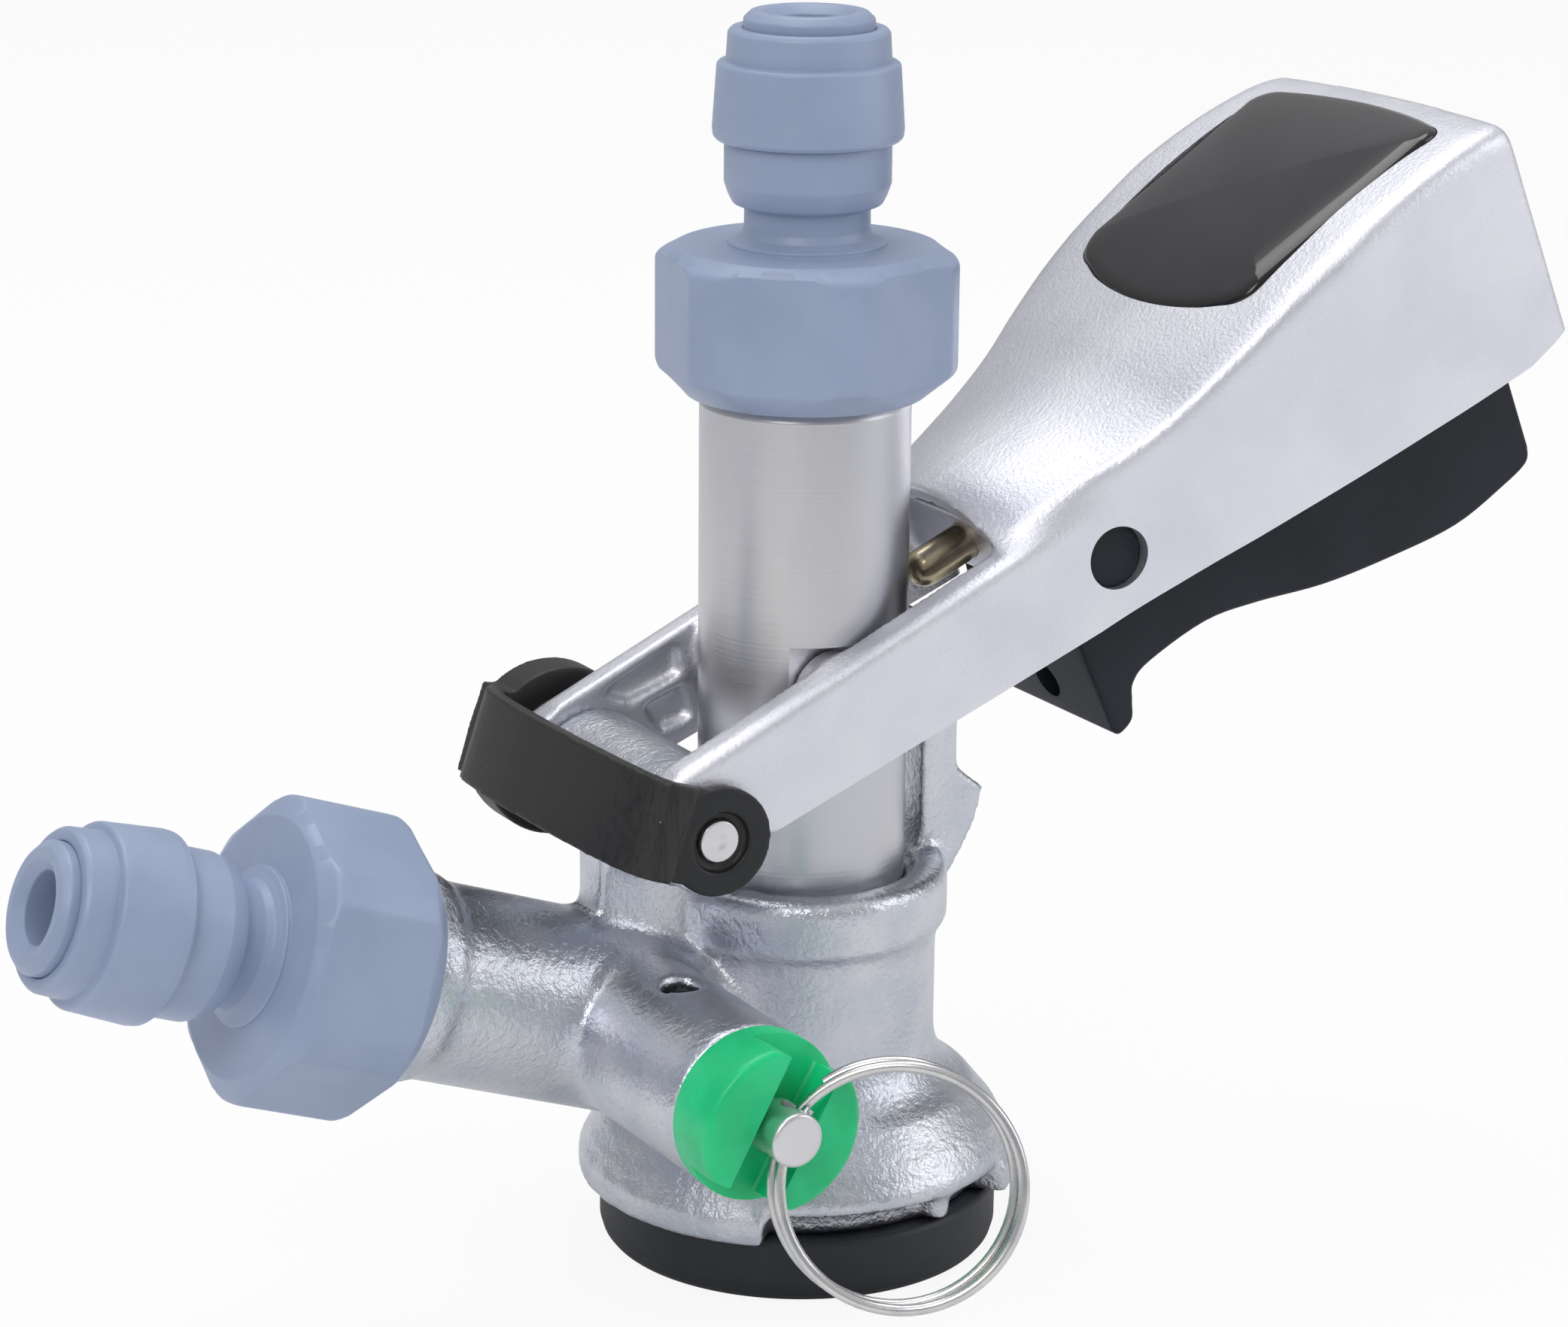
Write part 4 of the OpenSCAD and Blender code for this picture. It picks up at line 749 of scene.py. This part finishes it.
# u runs along the lever from its pivot, v stands square on it
armSettings = {
    "hubRadius": 6.6, "top": 8.6, "reach": 53.1, "round": 1.2,
    "back": [(-3.13, 7.89), (-5.44, 5.44)], "foot": [(6.12, -3.604), (9, -4.9), (53.1, -6.9)],
    "crease": 7.85, "creaseWidth": 2.9, "keepTop": 8.62, "keepLow": -14, "keepGap": 0.01,
    "keepSpan": (-14, 60),
    "panelLength": 22.5, "panelHeight": 13.6, "panelDepth": 1.376, "panelRound": 0.8,
    "panels": [((0.2, 0.52), (0.36, 0.3), (0.66, 0.26), (0.73, 0.54)),
               ((0.4, 0.2), (0.43, -0.08), (0.63, -0.16), (0.66, 0.16))],
}
leverDetail = {
    "grain": 0.45, "fillRounds": 8, "smoothRounds": 6, "armSoftness": 0.25, "softFrom": 40, "softOver": 20,
    "foot": [(6.12, -3.604), (53.1, -5.712), (116, -5.712), (120.5, -4.7), (124, -3.7), (132, -3.7),
             (132, -20), (6.12, -20)],
    "cutHalf": 40, "camSpot": (22.23, 0, 3.438), "camRadius": 5.0, "camFace": 9.8, "camRim": 0.5,
    "walls": {"bulkhead": (49.2, 53.136, 15.8, 8.204), "seatWall": (76.0, 78.0, 18.5, 8.204),
              "seatPlate": (76.0, 88.56, 18.5, 2.408)},
    "wallLow": 0.568, "springSpot": 84.0, "peg": (2.93, -3.09, 1.49), "pegRim": 0.3, "pinBore": 2.45,
    "stubU": 58.4, "stubV": 1.3, "stubBore": 3.75, "plungerV": 4.8, "plungerBore": 2.35,
    "plungerSpan": (44, 60),
}


def headRing(t, lever):
    # half of the head's section at station t, from its foot up over the ridge to the middle
    height, width = lever["headHeight"], lever["headWidth"]
    low, crease = headSettings["low"], headSettings["crease"]
    ridge = along(headShares["ridgeWidth"], t) * width / 2
    rise = along(headShares["ridgeHeight"], t) * height
    foot = along(headShares["footWidth"], t) * width / 2
    crown = along(headShares["crown"], t) * height
    share = (crease - low) / (rise - low)
    middle = max(foot, foot + (ridge - foot) * share)
    half = [(foot, low), (middle, crease, headSettings["creaseRound"])]
    half += [(ridge, rise, headSettings["ridgeRound"])]
    half += [(ridge * s, rise + crown * (1 - s * s)) for s in (0.8, 0.6, 0.4, 0.2, 0)]
    return rounded(half, 0, closed=False, steps=6)


def evenRing(half, count):
    # the same number of points on every ring, evenly spaced along it
    across, up = np.array(half).T
    lengths = np.append(0, np.cumsum(np.hypot(np.diff(across), np.diff(up))))
    goals = np.linspace(0, lengths[-1], count)
    return list(zip(np.interp(goals, lengths, across), np.interp(goals, lengths, up)))


def makeHeadSkin(lever, sizes):
    crotch = sizes["crotch"] * lever["length"]
    span = lever["length"] - crotch
    bow = sizes["bow"] * lever["headHeight"]
    count, stations, low = sizes["ringPoints"], sizes["stations"], sizes["low"]
    rows = []
    for k in range(stations):
        t = k / (stations - 1) * (len(headShares["place"]) - 1)
        u = crotch + along(headShares["place"], t) * span
        fade = max(0, 1 - k / sizes["bowStations"])
        closing = ease(stations - sizes["endStations"], stations - 1, k)
        row = []
        for w, v in evenRing(headRing(t, lever), count):
            curve = 1 - (2 * w / lever["headWidth"]) ** 2
            front = bow * curve * ease(sizes["bowLow"], sizes["bowHigh"], v) * fade
            end = bow / 2 * curve * closing
            row.append((u + front + end, w, v))
        rows.append(row)
    last = rows[-1]
    for s, push in sizes["endRings"]:
        rows.append([(u + push * sizes["endPush"], w * s, low + (v - low) * s) for u, w, v in last])
    points, size = [], 2 * count - 1
    for row in rows:
        points += row + [(u, -w, v) for u, w, v in reversed(row[:-1])]
    faces = [(a, a + 1, a + size + 1, a + size)
             for i in range(len(rows) - 1) for a in range(i * size, (i + 1) * size - 1)]
    skin = meshPiece("headSkin", points, faces, leverFrame)
    high = max(skin.data.polygons, key=lambda face: face.center.z)
    if high.normal.z < 0:
        skin.data.flip_normals()
    wall = skin.modifiers.new("wall", "SOLIDIFY")
    wall.thickness = lever["shellWall"] * mm
    wall.offset = -1
    wall.use_even_offset = True
    return settle(skin)


def arc(radius, start, end, step):
    # points on a circle, by whole degrees
    angles = [math.radians(a) for a in range(start, end, step)]
    return [(radius * math.cos(a), radius * math.sin(a)) for a in angles]


def makeArm(side, lever, sizes):
    outline = [(sizes["reach"], sizes["top"]), (0, sizes["top"])] + sizes["back"]
    outline += arc(sizes["hubRadius"], 168, 323, 7) + sizes["foot"]
    outer = lever["forkWidth"] / 2
    inner = outer - lever["forkWall"]
    faces = sorted((side * inner, side * outer))
    arm = prism("arm", rounded(outline, sizes["round"]), *faces, leverFrame)
    # what is kept has its outer upper edge cut off at a slant
    wide = side * (outer + sizes["keepGap"])
    section = [(side * inner, sizes["keepLow"]), (wide, sizes["keepLow"]), (wide, sizes["crease"]),
               (side * (inner + sizes["creaseWidth"]), sizes["keepTop"]),
               (side * inner, sizes["keepTop"])]
    keep = sleeve("keep", [(u, w, v) for u in sizes["keepSpan"] for w, v in section], leverFrame)
    combine(arm, keep, "INTERSECT")
    depth = sizes["panelDepth"]
    for shares in sizes["panels"]:
        outline = [(u * sizes["panelLength"], v * sizes["panelHeight"]) for u, v in shares]
        outline = rounded(outline, sizes["panelRound"])
        panel = prism("panel", outline, side * inner - depth, side * inner + depth, leverFrame)
        combine(arm, panel)
    return arm


badgeSettings = {
    "spot": (99.75, 0, 24.28), "tilt": 9.2, "half": 19.25, "wide": 17.0, "soft": 6.0, "corner": 5.0,
    "endBow": 74.8, "frontBow": 37.4, "archRadius": 75.9, "gap": 0.14, "pocketLow": -1.15, "pocketHigh": 5.0,
    # share of the outline, height over the arch, and how far it belongs to the dark rim
    "levels": [(1.0, -1.1, 1), (1.0, -0.45, 1), (0.994, -0.18, 1), (0.98, 0.0, 1), (0.955, 0.12, 0.9),
               (0.93, 0.2, 0.3), (0.9, 0.26, 0.0), (0.75, 0.42, 0), (0.55, 0.52, 0), (0.3, 0.58, 0),
               (0.08, 0.6, 0)],
}
badgeFrame = leverFrame @ shift(*badgeSettings["spot"]) @ rotation(-badgeSettings["tilt"], "Y")


def badgeOutline(grow, sizes):
    # rounded plate whose ends bow outwards
    half, wide, soft = sizes["half"] + grow, sizes["wide"] + grow, sizes["soft"]
    corner, ends, front = sizes["corner"], sizes["endBow"], sizes["frontBow"]

    def edge(reach, y, side):
        return side * (half - reach + math.sqrt(reach * reach - y * y))

    ys = [wide - soft - (wide - soft) * 2 * k / 24 for k in range(25)]
    line = [(edge(ends, wide, 1), wide, corner)] + [(edge(ends, y, 1), y) for y in ys]
    line += [(edge(ends, wide, 1), -wide, corner), (edge(front, wide, -1), -wide, corner)]
    line += [(edge(front, y, -1), y) for y in reversed(ys)] + [(edge(front, wide, -1), wide, corner)]
    return rounded(line, 0, steps=10)


def badgeStack(name, grow, levels):
    outline = badgeOutline(grow, badgeSettings)
    count, arch = len(outline), badgeSettings["archRadius"]
    points, faces, rims = [], [], []
    for share, height, rim in levels:
        for x, y in outline:
            sag = math.sqrt(arch ** 2 - min((x * share) ** 2, arch ** 2)) - arch
            points.append((x * share, y * share, sag + height))
        rims += [rim] * count
    for i in range(len(levels) - 1):
        for j in range(count):
            a, b = i * count + j, i * count + (j + 1) % count
            faces.append((a, b, b + count, a + count))
    faces.append(tuple(range(count - 1, -1, -1)))
    faces.append(tuple(range(len(points) - count, len(points))))
    piece = meshPiece(name, points, faces, badgeFrame)
    rim = piece.data.attributes.new("rim", "FLOAT", "POINT")
    for i, value in enumerate(rims[:len(piece.data.vertices)]):
        rim.data[i].value = value
    return piece


def headOnly(spots):
    # the arms stay crisp, the head is soft
    rise = math.radians(leverSizes["rise"])
    x, y, z = leverSizes["pivot"]
    u = (spots[:, 0] - x) * math.cos(rise) + (spots[:, 2] - z) * math.sin(rise)
    return np.clip((u - leverDetail["softFrom"]) / leverDetail["softOver"], leverDetail["armSoftness"], 1)


def makeLever(lever, sizes):
    parts = [makeHeadSkin(lever, headSettings)]
    inner = lever["forkWidth"] / 2 - lever["forkWall"]
    for side in (-1, 1):
        parts.append(makeArm(side, lever, armSettings))
        turn = leverFrame @ shift(*sizes["camSpot"]) @ rotation(side * 90, "X")
        root = -inner - lever["forkWall"] / 2
        parts.append(rod("cam", sizes["camRadius"], root, -sizes["camFace"], turn, rim=sizes["camRim"]))
    for name, (start, end, wide, top) in sizes["walls"].items():
        parts.append(block(name, (start, -wide, sizes["wallLow"]), (end, wide, top), leverFrame))
    spring = leverFrame @ shift(sizes["springSpot"], 0, 0)
    parts.append(rod("springPeg", *sizes["peg"], spring, rim=sizes["pegRim"]))
    piece = cast(joined("leverHandle", parts), sizes["grain"])
    relax(piece, sizes["fillRounds"], fill=True)
    relax(piece, sizes["smoothRounds"], weight=headOnly)
    reach = sizes["cutHalf"]
    across = leverFrame @ rotation(90, "X")
    stubs = across @ shift(sizes["stubU"], sizes["stubV"], 0)
    bore = leverFrame @ shift(0, 0, sizes["plungerV"]) @ rotation(90, "Y")
    combine(piece, prism("foot", sizes["foot"], -reach, reach, leverFrame))
    combine(piece, rod("pinBore", sizes["pinBore"], -reach, reach, across))
    combine(piece, rod("stubBore", sizes["stubBore"], -reach, reach, stubs))
    combine(piece, rod("plungerBore", sizes["plungerBore"], *sizes["plungerSpan"], bore))
    levels = [(1, badgeSettings["pocketLow"], 0), (1, badgeSettings["pocketHigh"], 0)]
    combine(piece, badgeStack("pocket", badgeSettings["gap"], levels))
    dress(piece, "satin", "lever", ["lever_handle"], crease=50)


def makeBadge(sizes):
    piece = badgeStack("handleBadge", 0, sizes["levels"])
    dress(piece, "badge", "lever", ["handle_badge"], crease=60)


makeLever(leverSizes, leverDetail)
makeBadge(badgeSettings)


triggerSettings = {
    "front": 52.406, "length": 66.166, "depth": 24.4, "width": 23.6, "wall": 2.36, "edge": 0.9,
    "places": [0, 0.012, 0.045, 0.06, 0.075, 0.12, 0.25, 0.36, 0.5, 0.65, 0.8, 0.92, 0.985, 1],
    "depths": [0.86, 0.9, 0.87, 0.78, 0.7, 0.655, 0.645, 0.72, 0.85, 0.94, 1, 0.97, 0.93, 0.85],
    "rearLip": 0.5, "rim": -4.88, "rimFront": 67.3, "hubFoot": (62.6, 0.2), "hubRadius": 4.2,
    "frontTop": -9.03,
    "hollowTop": 14.8, "hollowFront": 47.7, "holeV": -17.08, "holeSpan": (50, 56),
    "stubRadius": 3.7, "stubRim": 0.5, "stubFrom": 10.7, "stubTo": 16.2,
}


def makeTrigger(sizes):
    front, rim, wall = sizes["front"], sizes["rim"], sizes["wall"]
    low = [(front + p * sizes["length"], -d * sizes["depth"])
           for p, d in zip(sizes["places"], sizes["depths"])]
    smooth = []
    for k in range(5 * (len(low) - 1) + 1):
        smooth.append(tuple(along([point[c] for point in low], k / 5) for c in (0, 1)))
    last = front + sizes["length"]
    stubU, stubV = leverDetail["stubU"], leverDetail["stubV"]
    hub = [(stubU + u, stubV + v) for u, v in arc(sizes["hubRadius"], 15, 166, 15)]
    outline = smooth + [(last + sizes["rearLip"], rim), (sizes["rimFront"], rim), sizes["hubFoot"]]
    outline += hub + [(front, sizes["frontTop"])]
    half = sizes["width"] / 2
    piece = chamfer(prism("gripTrigger", outline, -half, half, leverFrame), sizes["edge"], 4, 40)
    hollow = [(min(max(u, front + wall), last - wall), v + wall) for u, v in low[3:-1]]
    hollow += [(last - wall, sizes["hollowTop"]), (sizes["hollowFront"], sizes["hollowTop"]),
               (sizes["hollowFront"], sizes["frontTop"]), (front + wall, sizes["frontTop"])]
    combine(piece, prism("hollow", hollow, wall - half, half - wall, leverFrame))
    slot = leverFrame @ shift(0, 0, sizes["holeV"]) @ rotation(90, "Y")
    combine(piece, rod("frontHole", wall, *sizes["holeSpan"], slot))
    across = leverFrame @ rotation(90, "X") @ shift(stubU, stubV, 0)
    start, end = sizes["stubFrom"], sizes["stubTo"]
    stubs = [rod("stub", sizes["stubRadius"], *span, across, rim=sizes["stubRim"])
             for span in ((start, end), (-end, -start))]
    piece = joined("gripTrigger", [piece] + stubs)
    dress(piece, "grip", "trigger", ["grip_trigger"], crease=35)


plungerSettings = {
    "radius": 2.3, "tip": 40.836,
    "collar": [(2.3, 56.79, 0.1), (3.61, 56.79, 0.3), (3.61, 58.72, 0.3), (1.43, 58.72, 0.1), (1.43, 68.38),
               (0, 68.38)],
    "tabSpan": (56.79, 58.72), "tabHalf": 2.99, "tabDrop": 15.64, "tabEdge": 0.25,
}


def makePlunger(sizes):
    height, radius, tip = leverDetail["plungerV"], sizes["radius"], sizes["tip"]
    dome = [(v, tip + radius - u) for u, v in arc(radius, 0, 91, 10)]
    place = leverFrame @ shift(0, 0, height) @ rotation(90, "Y")
    pin = turned("latchPlunger", dome + sizes["collar"], place, steps=64, closed=False)
    start, end = sizes["tabSpan"]
    half = sizes["tabHalf"]
    tab = block("tab", (start, -half, height - sizes["tabDrop"]), (end, half, height), leverFrame)
    piece = joined("latchPlunger", [pin, chamfer(tab, sizes["tabEdge"], 2)])
    dress(piece, "brass", "plunger", ["latch_plunger"])


makeTrigger(triggerSettings)
makePlunger(plungerSettings)


strapSettings = {"grain": 0.26, "rounds": 2}


def makeStrap(sizes):
    piece = cast(cadCopy("pin_strap", "pinStrap"), sizes["grain"])
    relax(piece, sizes["rounds"])
    dress(piece, "strap", "coupler", ["pin_strap"], crease=60)


makeStrap(strapSettings)


# heights of the relief valve's pieces run out along its port
plugSettings = {
    "lean": -29, "slotHalf": 3.4, "slotFloor": 35.6, "slotTop": 44, "cutReach": 20, "lobeEnd": 7.7,
    "slotEdge": 0.5, "edge": 0.4,
    "section": [(4.5, 24.09), (7.5, 24.09), (7.5, 33.04, 0.05), (9.5, 33.04, 0.3), (9.5, 40.8, 0.9),
                (1.64, 40.8, 0.2), (1.64, 31.04, 0.1), (4.5, 31.04, 0.1)],
}


def makePlug(sizes):
    piece = turned("reliefPlug", sizes["section"], portFrame)
    lean = portFrame @ rotation(sizes["lean"], "Z")
    floor, top, reach = sizes["slotFloor"], sizes["slotTop"], sizes["cutReach"]
    half, lobe = sizes["slotHalf"], sizes["lobeEnd"]
    slot = chamfer(block("slot", (-half, -reach, floor), (half, reach, top), lean), sizes["slotEdge"], 3)
    combine(piece, slot)
    for low, high in ((lobe, reach), (-reach, -lobe)):
        combine(piece, block("lobeEnd", (-reach, low, floor), (reach, high, top), lean))
    chamfer(piece, sizes["edge"], 3, 40)
    dress(piece, "green", "coupler", ["relief_plug"])


stemSettings = {
    "holeHeight": 40.48, "holeRadius": 1.65, "holeHalf": 8,
    "section": [(0, 15.03), (1.59, 15.03), (1.59, 17.02, 0), (5.475, 17.02, 0.2), (5.475, 18.34, 0.2),
                (1.59, 18.34, 0.1), (1.59, 38.04, 0.1), (3.05, 38.04, 0.4), (3.05, 43.7, 0.55), (0, 43.7)],
}
holeFrame = portFrame @ shift(0, 0, stemSettings["holeHeight"]) @ rotation(plugSettings["lean"], "Z")


def makeStem(sizes):
    piece = turned("reliefStem", sizes["section"], portFrame, steps=96, closed=False)
    half = sizes["holeHalf"]
    hole = rod("hole", sizes["holeRadius"], -half, half, holeFrame @ rotation(90, "X"))
    combine(piece, hole)
    dress(piece, "pin", "relief", ["relief_stem"])


wireSettings = {"pathPoints": 72, "step": {"From Min": 0.42, "From Max": 0.58}}


def wireTree(sizes):
    # Geometry Nodes: a wire wound in turns, its height shared out evenly or in one step
    tree = bpy.data.node_groups.new("woundWire", "GeometryNodeTree")
    kinds = {name: "Float" for name in ("Radius", "Wire", "Height", "Turns", "Step", "Shift X", "Shift Y")}
    sockets = {}
    for name, kind in {**kinds, "Sides": "Int", "Finish": "Material"}.items():
        made = tree.interface.new_socket(name, in_out="INPUT", socket_type="NodeSocket" + kind)
        sockets[name] = made.identifier
    tree.interface.new_socket("Geometry", in_out="OUTPUT", socket_type="NodeSocketGeometry")

    def node(kind, **values):
        return newNode(tree, kind, None, {key.replace("_", " "): value for key, value in values.items()})

    given = node("NodeGroupInput").outputs
    spiral = node("GeometryNodeCurveSpiral", Resolution=sizes["pathPoints"], Rotations=given["Turns"],
                  Start_Radius=given["Radius"], End_Radius=given["Radius"], Height=given["Height"])
    factor = node("GeometryNodeSplineParameter").outputs["Factor"]
    lift = node("ShaderNodeCombineXYZ")
    for axis, name in (("X", "Shift X"), ("Y", "Shift Y"), ("Z", "Step")):
        step = newNode(tree, "ShaderNodeMapRange", {"interpolation_type": "SMOOTHSTEP"},
                       {"Value": factor, "To Max": given[name], **sizes["step"]})
        tree.links.new(step.outputs[0], lift.inputs[axis])
    moved = node("GeometryNodeSetPosition", Geometry=spiral.outputs[0], Offset=lift.outputs[0])
    section = node("GeometryNodeCurvePrimitiveCircle", Resolution=given["Sides"], Radius=given["Wire"])
    swept = node("GeometryNodeCurveToMesh", Curve=moved.outputs[0], Profile_Curve=section.outputs[0],
                 Fill_Caps=True)
    whole = node("GeometryNodeRealizeInstances", Geometry=swept.outputs[0])
    coated = node("GeometryNodeSetMaterial", Geometry=whole.outputs[0], Material=given["Finish"])
    node("NodeGroupOutput", Geometry=coated.outputs[0])
    return tree, sockets


woundWire, woundSockets = wireTree(wireSettings)
windDefaults = {"Turns": 1.0, "Step": 0.0, "Shift X": 0.0, "Shift Y": 0.0, "Height": 0.0, "Sides": 20}


def wind(name, place, **given):
    piece = linked(name, bpy.data.meshes.new(name))
    modifier = piece.modifiers.new("wind", "NODES")
    modifier.node_group = woundWire
    for key, value in {**windDefaults, **given}.items():
        modifier[woundSockets[key]] = value if key in ("Turns", "Sides") else value * mm
    modifier[woundSockets["Finish"]] = finishes["wire"].material
    settle(piece)
    scale = Matrix.Diagonal((1 / mm, 1 / mm, 1 / mm, 1))
    piece.data.transform(Matrix.Diagonal((mm, mm, mm, 1)) @ place @ scale)
    bm = bmesh.new()
    bm.from_mesh(piece.data)
    bmesh.ops.recalc_face_normals(bm, faces=bm.faces)
    bm.to_mesh(piece.data)
    bm.free()
    return piece


ringSettings = {
    "droop": -34.7, "spot": (13.0, 0, -0.62), "start": 150,
    "wire": {"Radius": 13.0, "Wire": 0.64, "Turns": 1.96, "Step": 1.28, "Shift X": -0.8, "Shift Y": -0.46},
}


def makeRing(sizes):
    hung = holeFrame @ rotation(sizes["droop"], "Y")
    place = hung @ shift(*sizes["spot"]) @ rotation(sizes["start"], "Z")
    piece = wind("pullRing", place, **sizes["wire"])
    dress(piece, "wire", "ring", ["pull_ring"])


springSettings = {
    "sides": 12, "gripV": -14.5, "latchU": 59.1, "reliefHeight": 18.76,
    "grip": {"Radius": 3.776, "Wire": 0.425, "Height": 13.7, "Turns": 7.0},
    "latch": {"Radius": 2.53, "Wire": 0.368, "Height": 8.9, "Turns": 5.0},
    "relief": {"Radius": 3.6, "Wire": 0.396, "Height": 8.0, "Turns": 5.0},
}


def makeSprings(sizes):
    grip = leverFrame @ shift(leverDetail["springSpot"], 0, sizes["gripV"])
    latch = leverFrame @ shift(sizes["latchU"], 0, leverDetail["plungerV"]) @ rotation(90, "Y")
    relief = portFrame @ shift(0, 0, sizes["reliefHeight"])
    for name, place, body, node in (("grip", grip, "lever", "trigger_spring"),
                                    ("latch", latch, "lever", "plunger_spring"),
                                    ("relief", relief, "coupler", "relief_spring")):
        piece = wind(name + "Spring", place, Sides=sizes["sides"], **sizes[name])
        dress(piece, "wire", body, [node])


makePlug(plugSettings)
makeStem(stemSettings)
makeRing(ringSettings)
makeSprings(springSettings)


fittingSettings = {
    "flats": 31.5, "corners": 34.4, "hexHeight": 16.8, "hexFrom": 12.5, "soft": 0.25,
    "Fitting": [(11.5, 0, 0.2), (13.5, 0, 0.5), (17.2, 3.0, 1.6), (17.2, 15.4, 1.4), (14.6, 16.8, 0.8),
                (8.95, 16.8, 0.15), (8.95, 17.3, 0.2), (8.3, 17.5, 0.3), (7.45, 17.9, 0.4), (7.08, 18.8, 0.6),
                (7.05, 21.08, 0.3), (8.4, 21.59, 0.6), (8.9, 22.6, 0.6), (9.35, 23.86, 0.8),
                (9.35, 28.54, 0.3), (7.9, 28.54), (7.9, 34.94, 0.2), (6.31, 34.94, 0.2), (6.31, 23.86),
                (4.07, 23.86), (4.07, 13.44), (3.0, 13.44), (3.0, 10.84), (11.5, 10.84)],
    "Cap": [(7.92, 28.6), (10.2, 28.6, 0.5), (10.62, 29.1, 0.4), (10.7, 30.0, 0.5), (10.2, 37.2, 0.6),
            (9.22, 37.38, 0.15), (9.18, 38.0, 0.2), (9.02, 40.5, 0.5), (8.6, 40.99, 0.35), (7.38, 40.99, 0.2),
            (7.38, 34.98), (7.92, 34.98)],
    "Collet": [(4.05, 30.83), (5.86, 30.83, 0.3), (5.86, 38.14), (7.32, 38.14), (7.32, 42.0, 0.5),
               (6.45, 42.84, 0.6), (5.27, 42.84, 0.4), (4.05, 41.83, 0.4)],
}


def hexShape(sizes):
    # the hexagon cuts the turned outline, with a soft edge between the two
    half, corner = sizes["flats"] / 2, sizes["corners"] / 2
    top, soft, turn, sixth = sizes["hexHeight"] + 0.01, sizes["soft"], math.pi / 6, math.pi / 3

    def shape(r, z, angle):
        if r < sizes["hexFrom"] or z > top:
            return r
        flat = min(half / math.cos(angle % sixth - turn), corner / math.cos((angle - turn) % sixth - turn))
        h = max(soft - abs(flat - r), 0) / soft
        return min(flat, r) - h * h * soft / 4

    return shape


def makeFitting(prefix, place, turn, body, releaseBody, sizes):
    for key, node, spot, rider, steps, shape in (
            ("Fitting", "_fitting_body", place @ rotation(turn, "Z"), body, 288, hexShape(sizes)),
            ("Cap", "_cap", place, body, 160, None), ("Collet", "_collet", place, releaseBody, 128, None)):
        piece = turned(prefix + key, sizes[key], spot, 0.1, steps, shape=shape)
        dress(piece, "fitting", rider, [prefix + node], crease=50)


makeFitting("top", topFrame, 17.5, "probe", "top_release", fittingSettings)
makeFitting("side", sideFrame, 10.0, "coupler", "side_release", fittingSettings)

for node in ("probe_seal", "probe_o_rings", "gas_check_valve", "relief_seal", "top_o_rings", "top_washer",
             "side_o_rings", "side_washer"):
    paintNode(node, "rubber")
for node in ("check_ball", "ball_retainer", "top_grab_ring", "side_grab_ring"):
    paintNode(node, "wire")
print("hidden parts painted")
